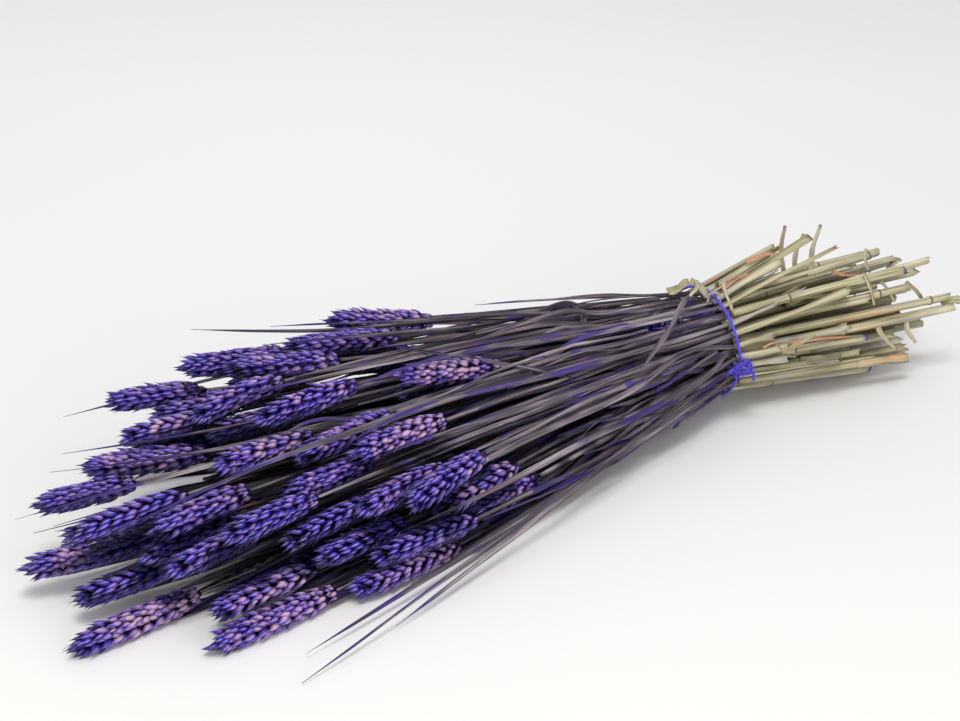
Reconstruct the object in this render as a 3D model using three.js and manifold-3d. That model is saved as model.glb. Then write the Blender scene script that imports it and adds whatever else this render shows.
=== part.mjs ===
// A tied bundle of dried, dyed wheat, lying on its side.
// Millimetres, +Z up. The ears point to -X and the cut straw ends to +X.
// Tables and routes are laid out from the middle of the bundle under the string, on the floor (z = 0);
// the finished group is then moved so that its origin is the bottom centre of its box.
import * as THREE from 'three';
import { mergeVertices } from 'three/addons/utils/BufferGeometryUtils.js';
import Module from 'manifold-3d';

const wasm = await Module();
wasm.setup();

// ---------------------------------------------------------------- driving dimensions
const SEED = 4127;
const FIT = 0.3; // clearance between neighbouring pieces
const WAIST = { y: 43.5, z: 36.5, height: 45 }; // half-axes of the tied section, and its middle's height
// The open fan: its half-width is root + spread * (1 - exp(x / reach)); it leans aside as it opens.
const FAN = { root: 45, spread: 88, reach: 150, lean: 0.03, middle: 47 };
const EAR = {
  width: 16.4, // of a head at least fullLength long; a shorter one is narrower, down to the narrowest share
  fullLength: 66,
  narrowest: 0.65,
  flatness: 0.84,
  columns: 8, // steps round the head and rows along it: every second crossing holds a scale
  rows: 11,
  valley: 0.62, // depth of the grooves between scales, as a share of the half-width
  overhang: 1.35, // how many rows a scale's point lies ahead of its middle
  start: 0.04, // shares of the length left bare at both ends
  end: 0.07,
  base: 0.4, // shares of the full width at both ends, and where the full width begins and ends
  apex: 0.3,
  shoulder: 0.22,
  taper: 0.6,
};
// Radii on the way to the ear, and the lengths over which the first and the second change.
const CULM = { waist: 2.9, middle: 2.3, neck: 1.7, lower: 160, upper: 200, sides: 5, knotStep: 72 };
const BLADE = {
  sheath: 3.4, // widths at the string, in the middle and at the tip
  wide: 5.8,
  tip: 1.2,
  opened: 0.4, // shares of the length where the middle width begins and ends
  narrows: 0.6,
  thick: 1.4,
  thinTip: 0.8,
  facing: 0.8, // how far its face turns outwards, and the most it twists by its tip
  twist: 0.9,
  longestPiece: 75,
};
const STRAW = { radius: 3, thinnest: 0.85, thickest: 1.12, sides: 5, shortest: 105, longest: 200 };
const LOWEST_STRAW = { longest: 0.72, below: 0.45 }; // shares of the greatest length, and of the bundle's height
// How far straws stray by their ends: the lowest sag and the highest rise.
const BUTTS = { flare: 0.27, aside: -9, sag: -10, lift: 9, jitter: 2, bite: 1.5 };
const STUB = { wide: 4, tip: 3.4, thick: 1.8, shortest: 0.2, longest: 0.75, rise: 17, away: 14, risen: 90 };
const SCRAP = { wide: 5.2, tip: 2.1, thick: 1.35, bow: -3, roll: 0.6 };
const CORE = { y: 41.8, z: 34.8, length: 13, noseY: 27, noseZ: 21, noseLength: 16, sides: 20, sink: 0.6 };
const STRING = { radius: 1.7, gap: 0.7, sides: 5, steps: 24 };
const KNOT = { wide: 12, deep: 5, tall: 8, out: 3, drop: -3, lump: 0.22, flare: 0.32 };
const FRAYED = { radius: 0.7, sides: 4 };
const STRING_ENDS = [
  [[-6, -50, 40], [-14, -53, 37], [-20, -54, 30]],
  [[6, -50, 42], [12, -54, 36], [14, -55, 28]],
];

// ---------------------------------------------------------------- hand-laid ears
// One ear a row: its tip, then its base, as x, y, z.
const EARS = [
  // along the floor on the near side
  [-490, -105, 7, -408, -88, 9],
  [-419, -136, 7, -334, -128, 8],
  [-410, -123, 18, -343, -113, 24],
  [-393, -104, 12, -329, -91, 18],
  [-478, -75, 18, -412, -74, 23],
  [-501, -37, 22, -438, -48, 24],
  [-327, -124, 9, -248, -119, 9],
  [-311, -118, 23, -236, -112, 22],
  [-344, -115, 30, -278, -107, 34],
  [-355, -100, 20, -293, -89, 24],
  // over the near shoulder
  [-477, -59, 50, -401, -60, 63],
  [-465, -51, 30, -403, -57, 37],
  [-431, -78, 52, -367, -68, 63],
  [-439, -79, 36, -373, -72, 43],
  [-429, -104, 41, -364, -95, 52],
  [-397, -99, 50, -333, -91, 59],
  [-383, -53, 70, -317, -54, 76],
  [-361, -108, 42, -299, -96, 49],
  [-350, -83, 59, -288, -77, 64],
  [-314, -105, 48, -249, -90, 55],
  [-335, -73, 74, -262, -50, 84],
  [-305, -76, 71, -236, -60, 76],
  [-287, -109, 49, -224, -84, 63],
  [-266, -90, 36, -206, -69, 45],
  [-265, -111, 38, -198, -91, 45],
  [-240, -104, 26, -178, -91, 28],
  // on top
  [-449, -3, 60, -373, -19, 55],
  [-485, -10, 46, -422, -15, 51],
  [-422, 17, 62, -358, 8, 71],
  [-409, 25, 47, -343, 12, 46],
  [-379, 6, 68, -315, 18, 85],
  [-372, 1, 66, -308, -9, 71],
  [-351, -36, 84, -278, -21, 90],
  [-254, -22, 89, -178, -34, 74],
  [-241, -8, 64, -177, -12, 61],
  // far side
  [-418, 68, 62, -353, 57, 60],
  [-394, 55, 53, -328, 43, 56],
  [-369, 70, 75, -290, 57, 73],
  [-345, 40, 83, -270, 18, 82],
  [-302, 48, 85, -224, 35, 81],
  [-262, 74, 85, -189, 50, 76],
  [-270, 47, 69, -206, 28, 69],
  // hidden below and behind
  [-440, 62, 20, -370, 50, 23],
  [-400, 95, 7, -330, 84, 9],
  [-350, 112, 22, -280, 94, 26],
  [-330, 85, 48, -262, 72, 51],
  [-296, 108, 8, -228, 86, 10],
  [-424, 12, 8, -350, 8, 11],
  [-382, -42, 20, -312, -36, 26],
  [-304, 18, 9, -232, 13, 18],
  [-250, 90, 40, -185, 68, 45],
  // one short ear caught close to the string
  [-62, -24, 79, -28, -19, 76],
];

// ---------------------------------------------------------------- hand-laid leaves
// One leaf a row: the points that its free part passes, from the string outwards, as x, y, z.
const LEAVES = [
  // stray tips over the top of the ears
  [[-190, 10, 96], [-265, 28, 93], [-355, 80, 96]],
  [[-125, -8, 93], [-216, 20, 96], [-303, 72, 90]],
  [[-160, 2, 94], [-230, 14, 98], [-319, 40, 95]],
  [[-250, -30, 84], [-359, -30, 76], [-407, -14, 71], [-460, 10, 66]],
  [[-250, -20, 60], [-380, -32, 62], [-470, 2, 60]],
  [[-300, -32, 62], [-452, -32, 58], [-498, -22, 48]],
  [[-280, -48, 52], [-460, -38, 46], [-489, -26, 38]],
  [[-220, -56, 82], [-359, -66, 79], [-413, -74, 68], [-449, -78, 60]],
  [[-280, -92, 34], [-405, -112, 26], [-430, -118, 20]],
  [[-200, -28, 92], [-307, -42, 94], [-355, -62, 84]],
  [[-200, -12, 92], [-314, -16, 92], [-361, 2, 84]],
  [[-160, -18, 90], [-258, -26, 98], [-291, -40, 94]],
  // long blades along the near side
  [[-123, -58, 78], [-196, -56, 81], [-278, -60, 84], [-313, -76, 73]],
  [[-129, -68, 66], [-192, -78, 72], [-255, -82, 75], [-293, -84, 70]],
  [[-100, -70, 60], [-165, -82, 60], [-259, -104, 53], [-292, -103, 40]],
  [[-150, -84, 42], [-259, -114, 45], [-291, -118, 36]],
  // tips that stray onto the floor
  [[-120, -84, 30], [-215, -122, 20], [-268, -137, 14], [-334, -162, 5], [-380, -184, 2]],
  [[-180, -100, 16], [-306, -146, 10], [-370, -163, 4]],
  [[-110, -76, 24], [-215, -130, 20], [-254, -140, 14], [-314, -162, 4]],
  // stray blades over the stems
  [[-53, 6, 88], [-110, 18, 95], [-170, 29, 97]],
  [[-100, -9, 85], [-107, -3, 97], [-120, 0, 98], [-144, -2, 93], [-181, -1, 88]],
  // hidden below and behind
  [[-180, 50, 66], [-300, 75, 62], [-440, 112, 34]],
  [[-160, 66, 40], [-260, 98, 36], [-380, 140, 10]],
  [[-110, 54, 60], [-200, 84, 58], [-300, 132, 34]],
  [[-180, -50, 8], [-300, -78, 6], [-420, -96, 3]],
  [[-200, 24, 8], [-340, 34, 8], [-470, 26, 6]],
  [[-90, 40, 76], [-160, 56, 74], [-250, 104, 66]],
  [[-160, 30, 20], [-270, 60, 10], [-360, 70, 4]],
];
// Two stiff blades that lie across the stems, from their roots outwards.
const CROSSING = [
  [[-5, -2, 79], [-20, -10, 91], [-56, -39, 87], [-96, -67, 74]],
  [[-5, -38, 55], [-28, -58, 54], [-56, -71, 52], [-88, -81, 50]],
];
// Torn scraps of sheath among the cut ends: root, then tip.
const SCRAPS = [
  [[84, 30, 78], [90, 36, 104]],
  [[88, 28, 82], [101, 26, 99]],
  [[96, 10, 79], [111, 20, 107]],
  [[150, -22, 66], [160, -16, 84]],
  [[146, -40, 52], [150, -54, 34]],
  [[120, -48, 50], [128, -60, 36]],
  [[60, -42, 34], [82, -54, 40]],
  [[24, 12, 78], [10, 4, 88]],
];

// ---------------------------------------------------------------- small tools
const TINY = 1e-6;
const TRIANGLE = { wide: Math.sqrt(3), tall: 1.5 }; // of one inside a circle of radius 1

const clamp = (value, low, high) => Math.min(high, Math.max(low, value));
const mix = (a, b, t) => a + (b - a) * t;
const vector = (row) => new THREE.Vector3(...row);

function smooth(t) {
  const u = clamp(t, 0, 1);
  return u * u * (3 - 2 * u);
}

// A repeatable source of random numbers from 0 to 1.
function makeRandom(seed) {
  let state = seed;
  return () => {
    state = (state + 0x6d2b79f5) | 0;
    let t = Math.imul(state ^ (state >>> 15), 1 | state);
    t = (t + Math.imul(t ^ (t >>> 7), 61 | t)) ^ t;
    return ((t ^ (t >>> 14)) >>> 0) / 4294967296;
  };
}

// The cubic through two points with the given directions there.
function hermite(start, leaving, end, arriving, t) {
  const eased = 3 * t ** 2 - 2 * t ** 3;
  return start.clone()
    .lerp(end, eased)
    .addScaledVector(leaving, t ** 3 - 2 * t ** 2 + t)
    .addScaledVector(arriving, t ** 3 - t ** 2);
}

function toSolid(geometry) {
  geometry.deleteAttribute('normal');
  geometry.deleteAttribute('uv');
  const merged = mergeVertices(geometry, 1e-4);
  return new wasm.Manifold(new wasm.Mesh({
    numProp: 3,
    vertProperties: new Float32Array(merged.attributes.position.array),
    triVerts: new Uint32Array(merged.index.array),
  }));
}

function toGeometry(solid) {
  const mesh = solid.getMesh();
  const geometry = new THREE.BufferGeometry();
  geometry.setAttribute('position', new THREE.BufferAttribute(mesh.vertProperties, 3));
  geometry.setIndex(new THREE.BufferAttribute(mesh.triVerts, 1));
  geometry.computeVertexNormals();
  return geometry;
}

const joinAll = (solids) => solids.reduce((whole, piece) => whole.add(piece));

// The directions across a line that runs along the given way: level, and over it.
function across(along) {
  const side = new THREE.Vector3().crossVectors(new THREE.Vector3(0, 0, 1), along).normalize();
  return { side, over: new THREE.Vector3().crossVectors(along, side) };
}

// A point at (u, v) from the centre of a cross-section that is rolled round its line.
function inSection(centre, along, u, v, roll) {
  const { side, over } = across(along);
  return centre.clone()
    .addScaledVector(side, u * Math.cos(roll) - v * Math.sin(roll))
    .addScaledVector(over, u * Math.sin(roll) + v * Math.cos(roll));
}

// A cylinder bent along a chain of knots; sizeAt(t, knot) gives its half-width, half-thickness and roll.
function bentRod(knots, sides, sizeAt) {
  const steps = knots.length - 1;
  const rod = new THREE.CylinderGeometry(1, 1, 1, sides, steps);
  const place = rod.attributes.position;
  for (let i = 0; i < place.count; i += 1) {
    const j = Math.round((0.5 - place.getY(i)) * steps);
    const along = knots[Math.min(steps, j + 1)].clone().sub(knots[Math.max(0, j - 1)]).normalize();
    const { wide, thick, roll = 0 } = sizeAt(j / steps, knots[j]);
    const point = inSection(knots[j], along, place.getX(i) * wide, place.getZ(i) * thick, roll);
    place.setXYZ(i, point.x, point.y, point.z);
  }
  return toSolid(rod);
}

// A three-sided strip; sizeAt(t, knot) gives its full width and thickness and its roll.
function keeled(knots, sizeAt) {
  return bentRod(knots, 3, (t, knot) => {
    const { wide, thick, roll } = sizeAt(t, knot);
    return { wide: wide / TRIANGLE.wide, thick: thick / TRIANGLE.tall, roll };
  });
}

// ---------------------------------------------------------------- routes of the stalks and leaves
// Every strand is a chain of straight pieces between knots, from its slot under the string outwards.
// In sections STATION apart each strand is a disc, and the discs are moved until none overlap.
const STATION = 10;
const SLOTS = { radius: 3.8, passes: 400, gain: 0.25 };
const SETTLE = { passes: 300, last: 100, pull: 0.05, bend: 0.15, gain: 1.2 };
const GIVE = new THREE.Vector2(0.86, -0.51); // the way, in a section, in which strands are pulled back least
const GIVE_PULL = 0.25; // of the pull across it
const ROOM = { ears: 0.9, stems: 0.2, blades: 0.3, floor: -0.9 }; // the lowest crests reach under the floor

// The share of its full width that a head has at a share t of its length.
function earPlump(t) {
  const tapered = mix(1, EAR.apex, smooth((t - EAR.taper) / (1 - EAR.taper)));
  return mix(EAR.base, 1, smooth(t / EAR.shoulder)) * tapered;
}

function bladeWidth(t) {
  const opened = mix(BLADE.sheath, BLADE.wide, smooth(t / BLADE.opened));
  return mix(opened, BLADE.tip, smooth((t - BLADE.narrows) / (1 - BLADE.narrows)));
}

// A short ear is a narrow one.
const earWidth = (length) => EAR.width * clamp(length / EAR.fullLength, EAR.narrowest, 1);

function culmRadius(distance) {
  const lower = mix(CULM.waist, CULM.middle, smooth(distance / CULM.lower));
  return mix(lower, CULM.neck, smooth((distance - CULM.lower) / CULM.upper));
}

// A strand's place under the string: its place in the open fan, shrunk into the waist's ellipse and spread.
function waistSlots(aims) {
  const half = { y: WAIST.y - CULM.waist, z: WAIST.z - CULM.waist };
  const places = aims.map((aim) => {
    const halfWidth = FAN.root + FAN.spread * (1 - Math.exp(aim.x / FAN.reach));
    const u = (aim.y - FAN.lean * aim.x) / halfWidth;
    const v = (aim.z - FAN.middle) / FAN.middle;
    const out = Math.max(1, Math.hypot(u, v));
    return new THREE.Vector2((u / out) * half.y, (v / out) * half.z);
  });
  for (let pass = 0; pass < SLOTS.passes; pass += 1) {
    const moved = places.map((place, a) => {
      const next = place.clone();
      places.forEach((other, b) => {
        const apart = place.distanceTo(other) + TINY;
        const push = (SLOTS.gain * Math.max(0, 2 * SLOTS.radius - apart)) / apart;
        next.addScaledVector(place.clone().sub(other), a === b ? 0 : push);
      });
      return next.divideScalar(Math.max(1, Math.hypot(next.x / half.y, next.y / half.z)));
    });
    moved.forEach((next, a) => places[a].copy(next));
  }
  return places.map((place) => new THREE.Vector3(0, place.x, place.y + WAIST.height));
}

// A stalk: a culm that turns gently into its ear's own direction, then the ear's base, middle and tip.
function stalkStrand(row, slot) {
  const tip = vector(row.slice(0, 3));
  const base = vector(row.slice(3));
  const chord = base.clone().sub(slot);
  const onward = tip.clone().sub(base).multiplyScalar(base.x / (tip.x - base.x)).lerp(chord, 0.5);
  const parts = Math.max(1, Math.round(-base.x / CULM.knotStep));
  const knots = Array.from({ length: parts }, (_, k) => hermite(slot, chord, base, onward, k / parts));
  const length = tip.distanceTo(base);
  const width = earWidth(length);
  knots.push(base, base.clone().lerp(tip, 0.5), tip);
  const radiusAt = (x) => {
    const t = (knots[parts].x - x) / (base.x - tip.x);
    return t < 0 ? culmRadius(-x) : (earPlump(t) * width) / 2;
  };
  return { kind: 'stalk', knots, radiusAt, parts, width };
}

function leafStrand(row, slot) {
  const knots = slot ? [slot.clone()] : [];
  row.map(vector).forEach((point) => {
    const last = knots[knots.length - 1];
    if (last && last.x - point.x > BLADE.longestPiece) {
      knots.push(last.clone().lerp(point, 0.5));
    }
    knots.push(point);
  });
  const reach = knots[0].x - knots[knots.length - 1].x;
  const radiusAt = (x) => bladeWidth((knots[0].x - x) / reach) / 2 + ROOM.blades;
  return { kind: 'leaf', knots, radiusAt };
}

// Where each strand is cut by each section: which piece, how far along it, and how thick it is there.
function sectionsOf(strands) {
  const sections = [];
  strands.forEach((strand, who) => {
    const { knots } = strand;
    for (let j = 0; j + 1 < knots.length; j += 1) {
      const slant = knots[j].distanceTo(knots[j + 1]) / (knots[j].x - knots[j + 1].x);
      const first = Math.floor(-knots[j].x / STATION) + 1;
      const last = Math.floor(-knots[j + 1].x / STATION);
      for (let s = first; s <= last; s += 1) {
        const x = -s * STATION;
        const along = (knots[j].x - x) / (knots[j].x - knots[j + 1].x);
        const isEar = strand.kind === 'stalk' && j >= strand.parts;
        (sections[s] ??= []).push({ who, j, along, radius: strand.radiusAt(x) * slant, isEar });
      }
    }
  });
  return sections.filter(Boolean);
}

// One pass of pushing: every overlap in every section moves the knots at both ends of the pieces it cuts.
function pushApart(strands, sections, moves) {
  sections.forEach((cuts) => {
    const spots = cuts.map(({ who, j, along }) => {
      const [near, far] = strands[who].knots.slice(j, j + 2);
      return new THREE.Vector2(mix(near.y, far.y, along), mix(near.z, far.z, along));
    });
    const shift = (a, dy, dz) => {
      const { who, j, along } = cuts[a];
      [[j, 1 - along], [j + 1, along]].forEach(([knot, share]) => {
        const move = moves[who][knot];
        move.y += dy * share;
        move.z += dz * share;
        move.share += share;
      });
    };
    for (let a = 0; a < cuts.length; a += 1) {
      const sink = cuts[a].radius + ROOM.floor - spots[a].y;
      if (sink > 0) {
        shift(a, 0, sink);
      }
      for (let b = a + 1; b < cuts.length; b += 1) {
        const room = cuts[a].isEar || cuts[b].isEar ? ROOM.ears : ROOM.stems;
        const way = spots[b].clone().sub(spots[a]);
        const apart = way.length() + TINY;
        const push = (cuts[a].radius + cuts[b].radius + room - apart) / 2 / apart;
        if (push > 0) {
          shift(a, -way.x * push, -way.y * push);
          shift(b, way.x * push, way.y * push);
        }
      }
    }
  });
}

// Push the strands apart, with a weak pull back to their aims and a little straightening till near the end.
function settle(strands) {
  const sections = sectionsOf(strands);
  const aims = strands.map(({ knots }) => knots.map((knot) => knot.clone()));
  for (let pass = 0; pass < SETTLE.passes; pass += 1) {
    const moves = strands.map(({ knots }) => knots.map(() => ({ y: 0, z: 0, share: TINY })));
    pushApart(strands, sections, moves);
    const easing = pass < SETTLE.passes - SETTLE.last ? 1 : 0;
    strands.forEach(({ knots }, who) => {
      for (let j = 1; j < knots.length; j += 1) {
        const knot = knots[j];
        const { y, z, share } = moves[who][j];
        knot.y += (SETTLE.gain * y) / share;
        knot.z += (SETTLE.gain * z) / share;
        const off = new THREE.Vector2(aims[who][j].y - knot.y, aims[who][j].z - knot.z);
        off.addScaledVector(GIVE, off.dot(GIVE) * (GIVE_PULL - 1));
        knot.y += SETTLE.pull * easing * off.x;
        knot.z += SETTLE.pull * easing * off.y;
      }
      for (let j = 1; j + 1 < knots.length; j += 1) {
        const [before, knot, after] = knots.slice(j - 1, j + 2);
        const t = (before.x - knot.x) / (before.x - after.x);
        knot.y += SETTLE.bend * easing * (mix(before.y, after.y, t) - knot.y);
        knot.z += SETTLE.bend * easing * (mix(before.z, after.z, t) - knot.z);
      }
    });
  }
}

// ---------------------------------------------------------------- the pieces
// A head of wheat: rows of pointed scales in a diamond pattern round a flattened spindle. The spindle's
// curve passes through the middle, so its control point is 2 middle - base / 2 - tip / 2.
function earSolid(base, middle, tip, width, roll) {
  const axis = new THREE.QuadraticBezierCurve3(
    base,
    middle.clone().multiplyScalar(2).addScaledVector(base, -0.5).addScaledVector(tip, -0.5),
    tip,
  );
  const points = [];
  const faces = [];
  const keep = (point) => points.push(point.x, point.y, point.z) / 3 - 1;
  const put = (column, row, height) => {
    const t = clamp(EAR.start + (row / EAR.rows) * (1 - EAR.start - EAR.end), 0, 1);
    const angle = (column / EAR.columns) * 2 * Math.PI;
    const radius = (height * earPlump(t) * width) / 2;
    const u = Math.cos(angle) * radius;
    const v = Math.sin(angle) * radius * EAR.flatness;
    return keep(inSection(axis.getPoint(t), axis.getTangent(t), u, v, roll));
  };
  const lattice = new Map();
  for (let row = 0; row <= EAR.rows; row += 1) {
    for (let column = row % 2; column < EAR.columns; column += 2) {
      lattice.set(`${column},${row}`, put(column, row, EAR.valley));
    }
  }
  const corner = (column, row) => lattice.get(`${(column + EAR.columns) % EAR.columns},${row}`);
  const root = keep(axis.getPoint(FIT / axis.getLength()));
  const point = keep(tip);
  for (let row = 0; row <= EAR.rows; row += 1) {
    for (let column = (row + 1) % 2; column < EAR.columns; column += 2) {
      const right = corner(column + 1, row);
      const left = corner(column - 1, row);
      const front = row < EAR.rows ? corner(column, row + 1) : point;
      const back = row > 0 ? corner(column, row - 1) : root;
      if (row === 0 || row === EAR.rows) {
        faces.push(back, right, front, back, front, left);
      } else {
        const crest = put(column, row + EAR.overhang, 1);
        faces.push(back, right, crest, right, front, crest, front, left, crest, left, back, crest);
      }
    }
  }
  const geometry = new THREE.BufferGeometry();
  geometry.setAttribute('position', new THREE.Float32BufferAttribute(points, 3));
  geometry.setIndex(faces);
  return toSolid(geometry);
}

function culmSolid({ knots, parts }, roll) {
  const chain = [knots[0].clone(), ...knots.slice(1, parts + 1)];
  chain[0].x = -CORE.sink;
  return bentRod(chain, CULM.sides, (t, knot) => {
    const radius = t < 1 ? culmRadius(-knot.x) : CULM.neck;
    return { wide: radius, thick: radius, roll };
  });
}

function leafSolid({ knots }, twist) {
  const chain = knots.map((knot) => knot.clone());
  chain[0].x = Math.min(chain[0].x, -CORE.sink);
  return keeled(chain, (t, knot) => ({
    wide: bladeWidth(t),
    thick: mix(BLADE.thick, BLADE.thinTip, t),
    roll: Math.atan2(knot.y - FAN.lean * knot.x, knot.z - FAN.middle) * BLADE.facing + twist * t,
  }));
}

// The packed middle of the bundle, hidden among the stems.
function coreSolid(towards) {
  const core = new THREE.CylinderGeometry(1, 1, 1, CORE.sides, 2);
  const place = core.attributes.position;
  for (let i = 0; i < place.count; i += 1) {
    const ring = Math.round((place.getY(i) + 0.5) * 2);
    const x = [FIT / 2, CORE.length, CORE.length + CORE.noseLength][ring] * towards;
    const y = place.getX(i) * (ring < 2 ? CORE.y : CORE.noseY) * -towards;
    const z = place.getZ(i) * (ring < 2 ? CORE.z : CORE.noseZ) + WAIST.height;
    place.setXYZ(i, x, y, z);
  }
  return toSolid(core);
}

// A slot's height among the others, from 0 for the lowest to 1 for the highest.
const heightOf = (slot) => clamp((slot.z - WAIST.height) / (WAIST.z - CULM.waist) / 2 + 0.5, 0, 1);

// A straw goes on from its slot, a little flared, sagging or rising and astray, and hardly through the floor.
function strawChain(slot, random) {
  const height = heightOf(slot);
  const longest = STRAW.longest * mix(LOWEST_STRAW.longest, 1, smooth(height / LOWEST_STRAW.below));
  const length = mix(STRAW.shortest, longest, random());
  const t = length / STRAW.longest;
  const stray = () => mix(-1, 1, random()) * BUTTS.jitter;
  const flared = (offset) => offset * (1 + BUTTS.flare * t);
  const y = flared(slot.y) + BUTTS.aside * t + stray();
  const z = flared(slot.z - WAIST.height) + WAIST.height + mix(BUTTS.sag, BUTTS.lift, height) * t + stray();
  const start = new THREE.Vector3(CORE.sink, slot.y, slot.z);
  return [start, new THREE.Vector3(length, y, Math.max(z, STRAW.radius - BUTTS.bite))];
}

function strawSolid(chain, random) {
  const radius = STRAW.radius * mix(STRAW.thinnest, STRAW.thickest, random());
  return bentRod(chain, STRAW.sides, () => ({ wide: radius, thick: radius, roll: chain[0].y }));
}

// What is left of a leaf on the other side of the string: a short strip of its sheath. High ones stand off.
function stubSolid([start, end], random) {
  const tip = start.clone().lerp(end, mix(STUB.shortest, STUB.longest, random()));
  const outside = Math.max(0, 2 * heightOf(start) - 1) * Math.min(1, tip.x / STUB.risen);
  tip.y += STUB.away * outside;
  tip.z += STUB.rise * outside;
  return keeled([start, tip], (t) => ({ wide: mix(STUB.wide, STUB.tip, t), thick: STUB.thick, roll: 0 }));
}

// A torn strip of leaf sheath that springs from the straw nearest to its root.
function scrapSolid([root, tip], chains) {
  const reached = chains.filter(([, end]) => end.x > root[0] + STRAW.radius);
  const along = ([start, end]) => (root[0] - start.x) / (end.x - start.x);
  const spots = reached.map((chain) => chain[0].clone().lerp(chain[1], along(chain)));
  spots.sort((a, b) => a.distanceTo(vector(root)) - b.distanceTo(vector(root)));
  const bowed = spots[0].clone().lerp(vector(tip), 0.5);
  bowed.x += SCRAP.bow;
  return keeled([spots[0], bowed, vector(tip)], (t) => ({
    wide: mix(SCRAP.wide, SCRAP.tip, t),
    thick: SCRAP.thick,
    roll: SCRAP.roll,
  }));
}

// The string: a ring round the waist, a flattened, lumpy knot on its near side and two frayed ends.
function tieSolid() {
  const half = { y: WAIST.y + STRING.gap + STRING.radius, z: WAIST.z + STRING.gap + STRING.radius };
  const ring = new THREE.TorusGeometry(1, 0.5, STRING.sides, STRING.steps);
  let place = ring.attributes.position;
  for (let i = 0; i < place.count; i += 1) {
    const angle = Math.atan2(place.getY(i), place.getX(i));
    const outward = (Math.hypot(place.getX(i), place.getY(i)) - 1) * 2 * STRING.radius;
    const normal = new THREE.Vector2(Math.cos(angle) / half.y, Math.sin(angle) / half.z).normalize();
    place.setXYZ(
      i,
      place.getZ(i) * 2 * STRING.radius,
      Math.cos(angle) * half.y + normal.x * outward,
      Math.sin(angle) * half.z + normal.y * outward + WAIST.height,
    );
  }
  const knot = new THREE.IcosahedronGeometry(1, 1);
  place = knot.attributes.position;
  for (let i = 0; i < place.count; i += 1) {
    const [u, v, w] = [place.getX(i), place.getY(i), place.getZ(i)];
    const lump = 1 + KNOT.lump * Math.sin(5 * u + 2) * Math.sin(4 * w + 7 * v + 1);
    const x = u * KNOT.wide * lump;
    const y = -half.y - KNOT.out + v * KNOT.deep * lump;
    const inside = -WAIST.y - STRING.gap - KNOT.flare * Math.abs(x);
    place.setXYZ(i, x, Math.min(y, inside), WAIST.height + KNOT.drop + w * KNOT.tall * lump);
  }
  const ends = STRING_ENDS.map((row) => bentRod(row.map(vector), FRAYED.sides, (t) => ({
    wide: mix(STRING.radius, FRAYED.radius, t),
    thick: mix(STRING.radius, FRAYED.radius, t),
  })));
  return joinAll([toSolid(ring), toSolid(knot), ...ends]);
}

// Everything that would reach below the floor is cut flat there.
const SLAB = { wide: 2000, deep: 100 };

function cutAtFloor(solid) {
  const slab = new THREE.BoxGeometry(SLAB.wide, SLAB.wide, SLAB.deep);
  slab.translate(0, 0, -SLAB.deep / 2);
  return solid.subtract(toSolid(slab));
}

function named(solid, name, look) {
  const mesh = new THREE.Mesh(toGeometry(solid), new THREE.MeshStandardMaterial(look));
  mesh.name = name;
  return mesh;
}

// ---------------------------------------------------------------- the bundle
const LOOKS = {
  ear: { color: 0x4a2f8f, roughness: 0.75, metalness: 0 },
  stem: { color: 0x4f4752, roughness: 0.85, metalness: 0 },
  straw: { color: 0x9b9165, roughness: 0.8, metalness: 0 },
  string: { color: 0x3a32c4, roughness: 0.9, metalness: 0 },
};

const random = makeRandom(SEED);
const aims = [...EARS.map((row) => vector(row.slice(3))), ...LEAVES.map((row) => vector(row[1]))];
const slots = waistSlots(aims);
const stalks = EARS.map((row, k) => stalkStrand(row, slots[k]));
const leaves = LEAVES.map((row, k) => leafStrand(row, slots[EARS.length + k]));
leaves.push(...CROSSING.map((row) => leafStrand(row, null)));
settle([...stalks, ...leaves]);

const group = new THREE.Group();
stalks.forEach(({ knots, parts, width }, k) => {
  const ear = earSolid(...knots.slice(parts), width, random() * Math.PI);
  group.add(named(cutAtFloor(ear), `ear_${String(k + 1).padStart(2, '0')}`, LOOKS.ear));
});

const blades = leaves.map((leaf) => leafSolid(leaf, mix(-BLADE.twist, BLADE.twist, random())));
const culms = stalks.map((stalk) => culmSolid(stalk, random() * Math.PI));
const upper = joinAll([coreSolid(-1), ...culms, ...blades]);
group.add(named(cutAtFloor(upper), 'culms', LOOKS.stem));

const chains = slots.map((slot) => strawChain(slot, random));
const whole = chains.slice(0, EARS.length);
const straws = whole.map((chain) => strawSolid(chain, random));
const stubs = chains.slice(EARS.length).map((chain) => stubSolid(chain, random));
const scraps = SCRAPS.map((row) => scrapSolid(row, whole));
const lower = joinAll([coreSolid(1), ...straws, ...stubs, ...scraps]);
group.add(named(cutAtFloor(lower), 'butts', LOOKS.straw));

group.add(named(tieSolid(), 'tie', LOOKS.string));

const box = new THREE.Box3().setFromObject(group);
group.position.set(-(box.min.x + box.max.x) / 2, -(box.min.y + box.max.y) / 2, -box.min.z);

export default group;
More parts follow.
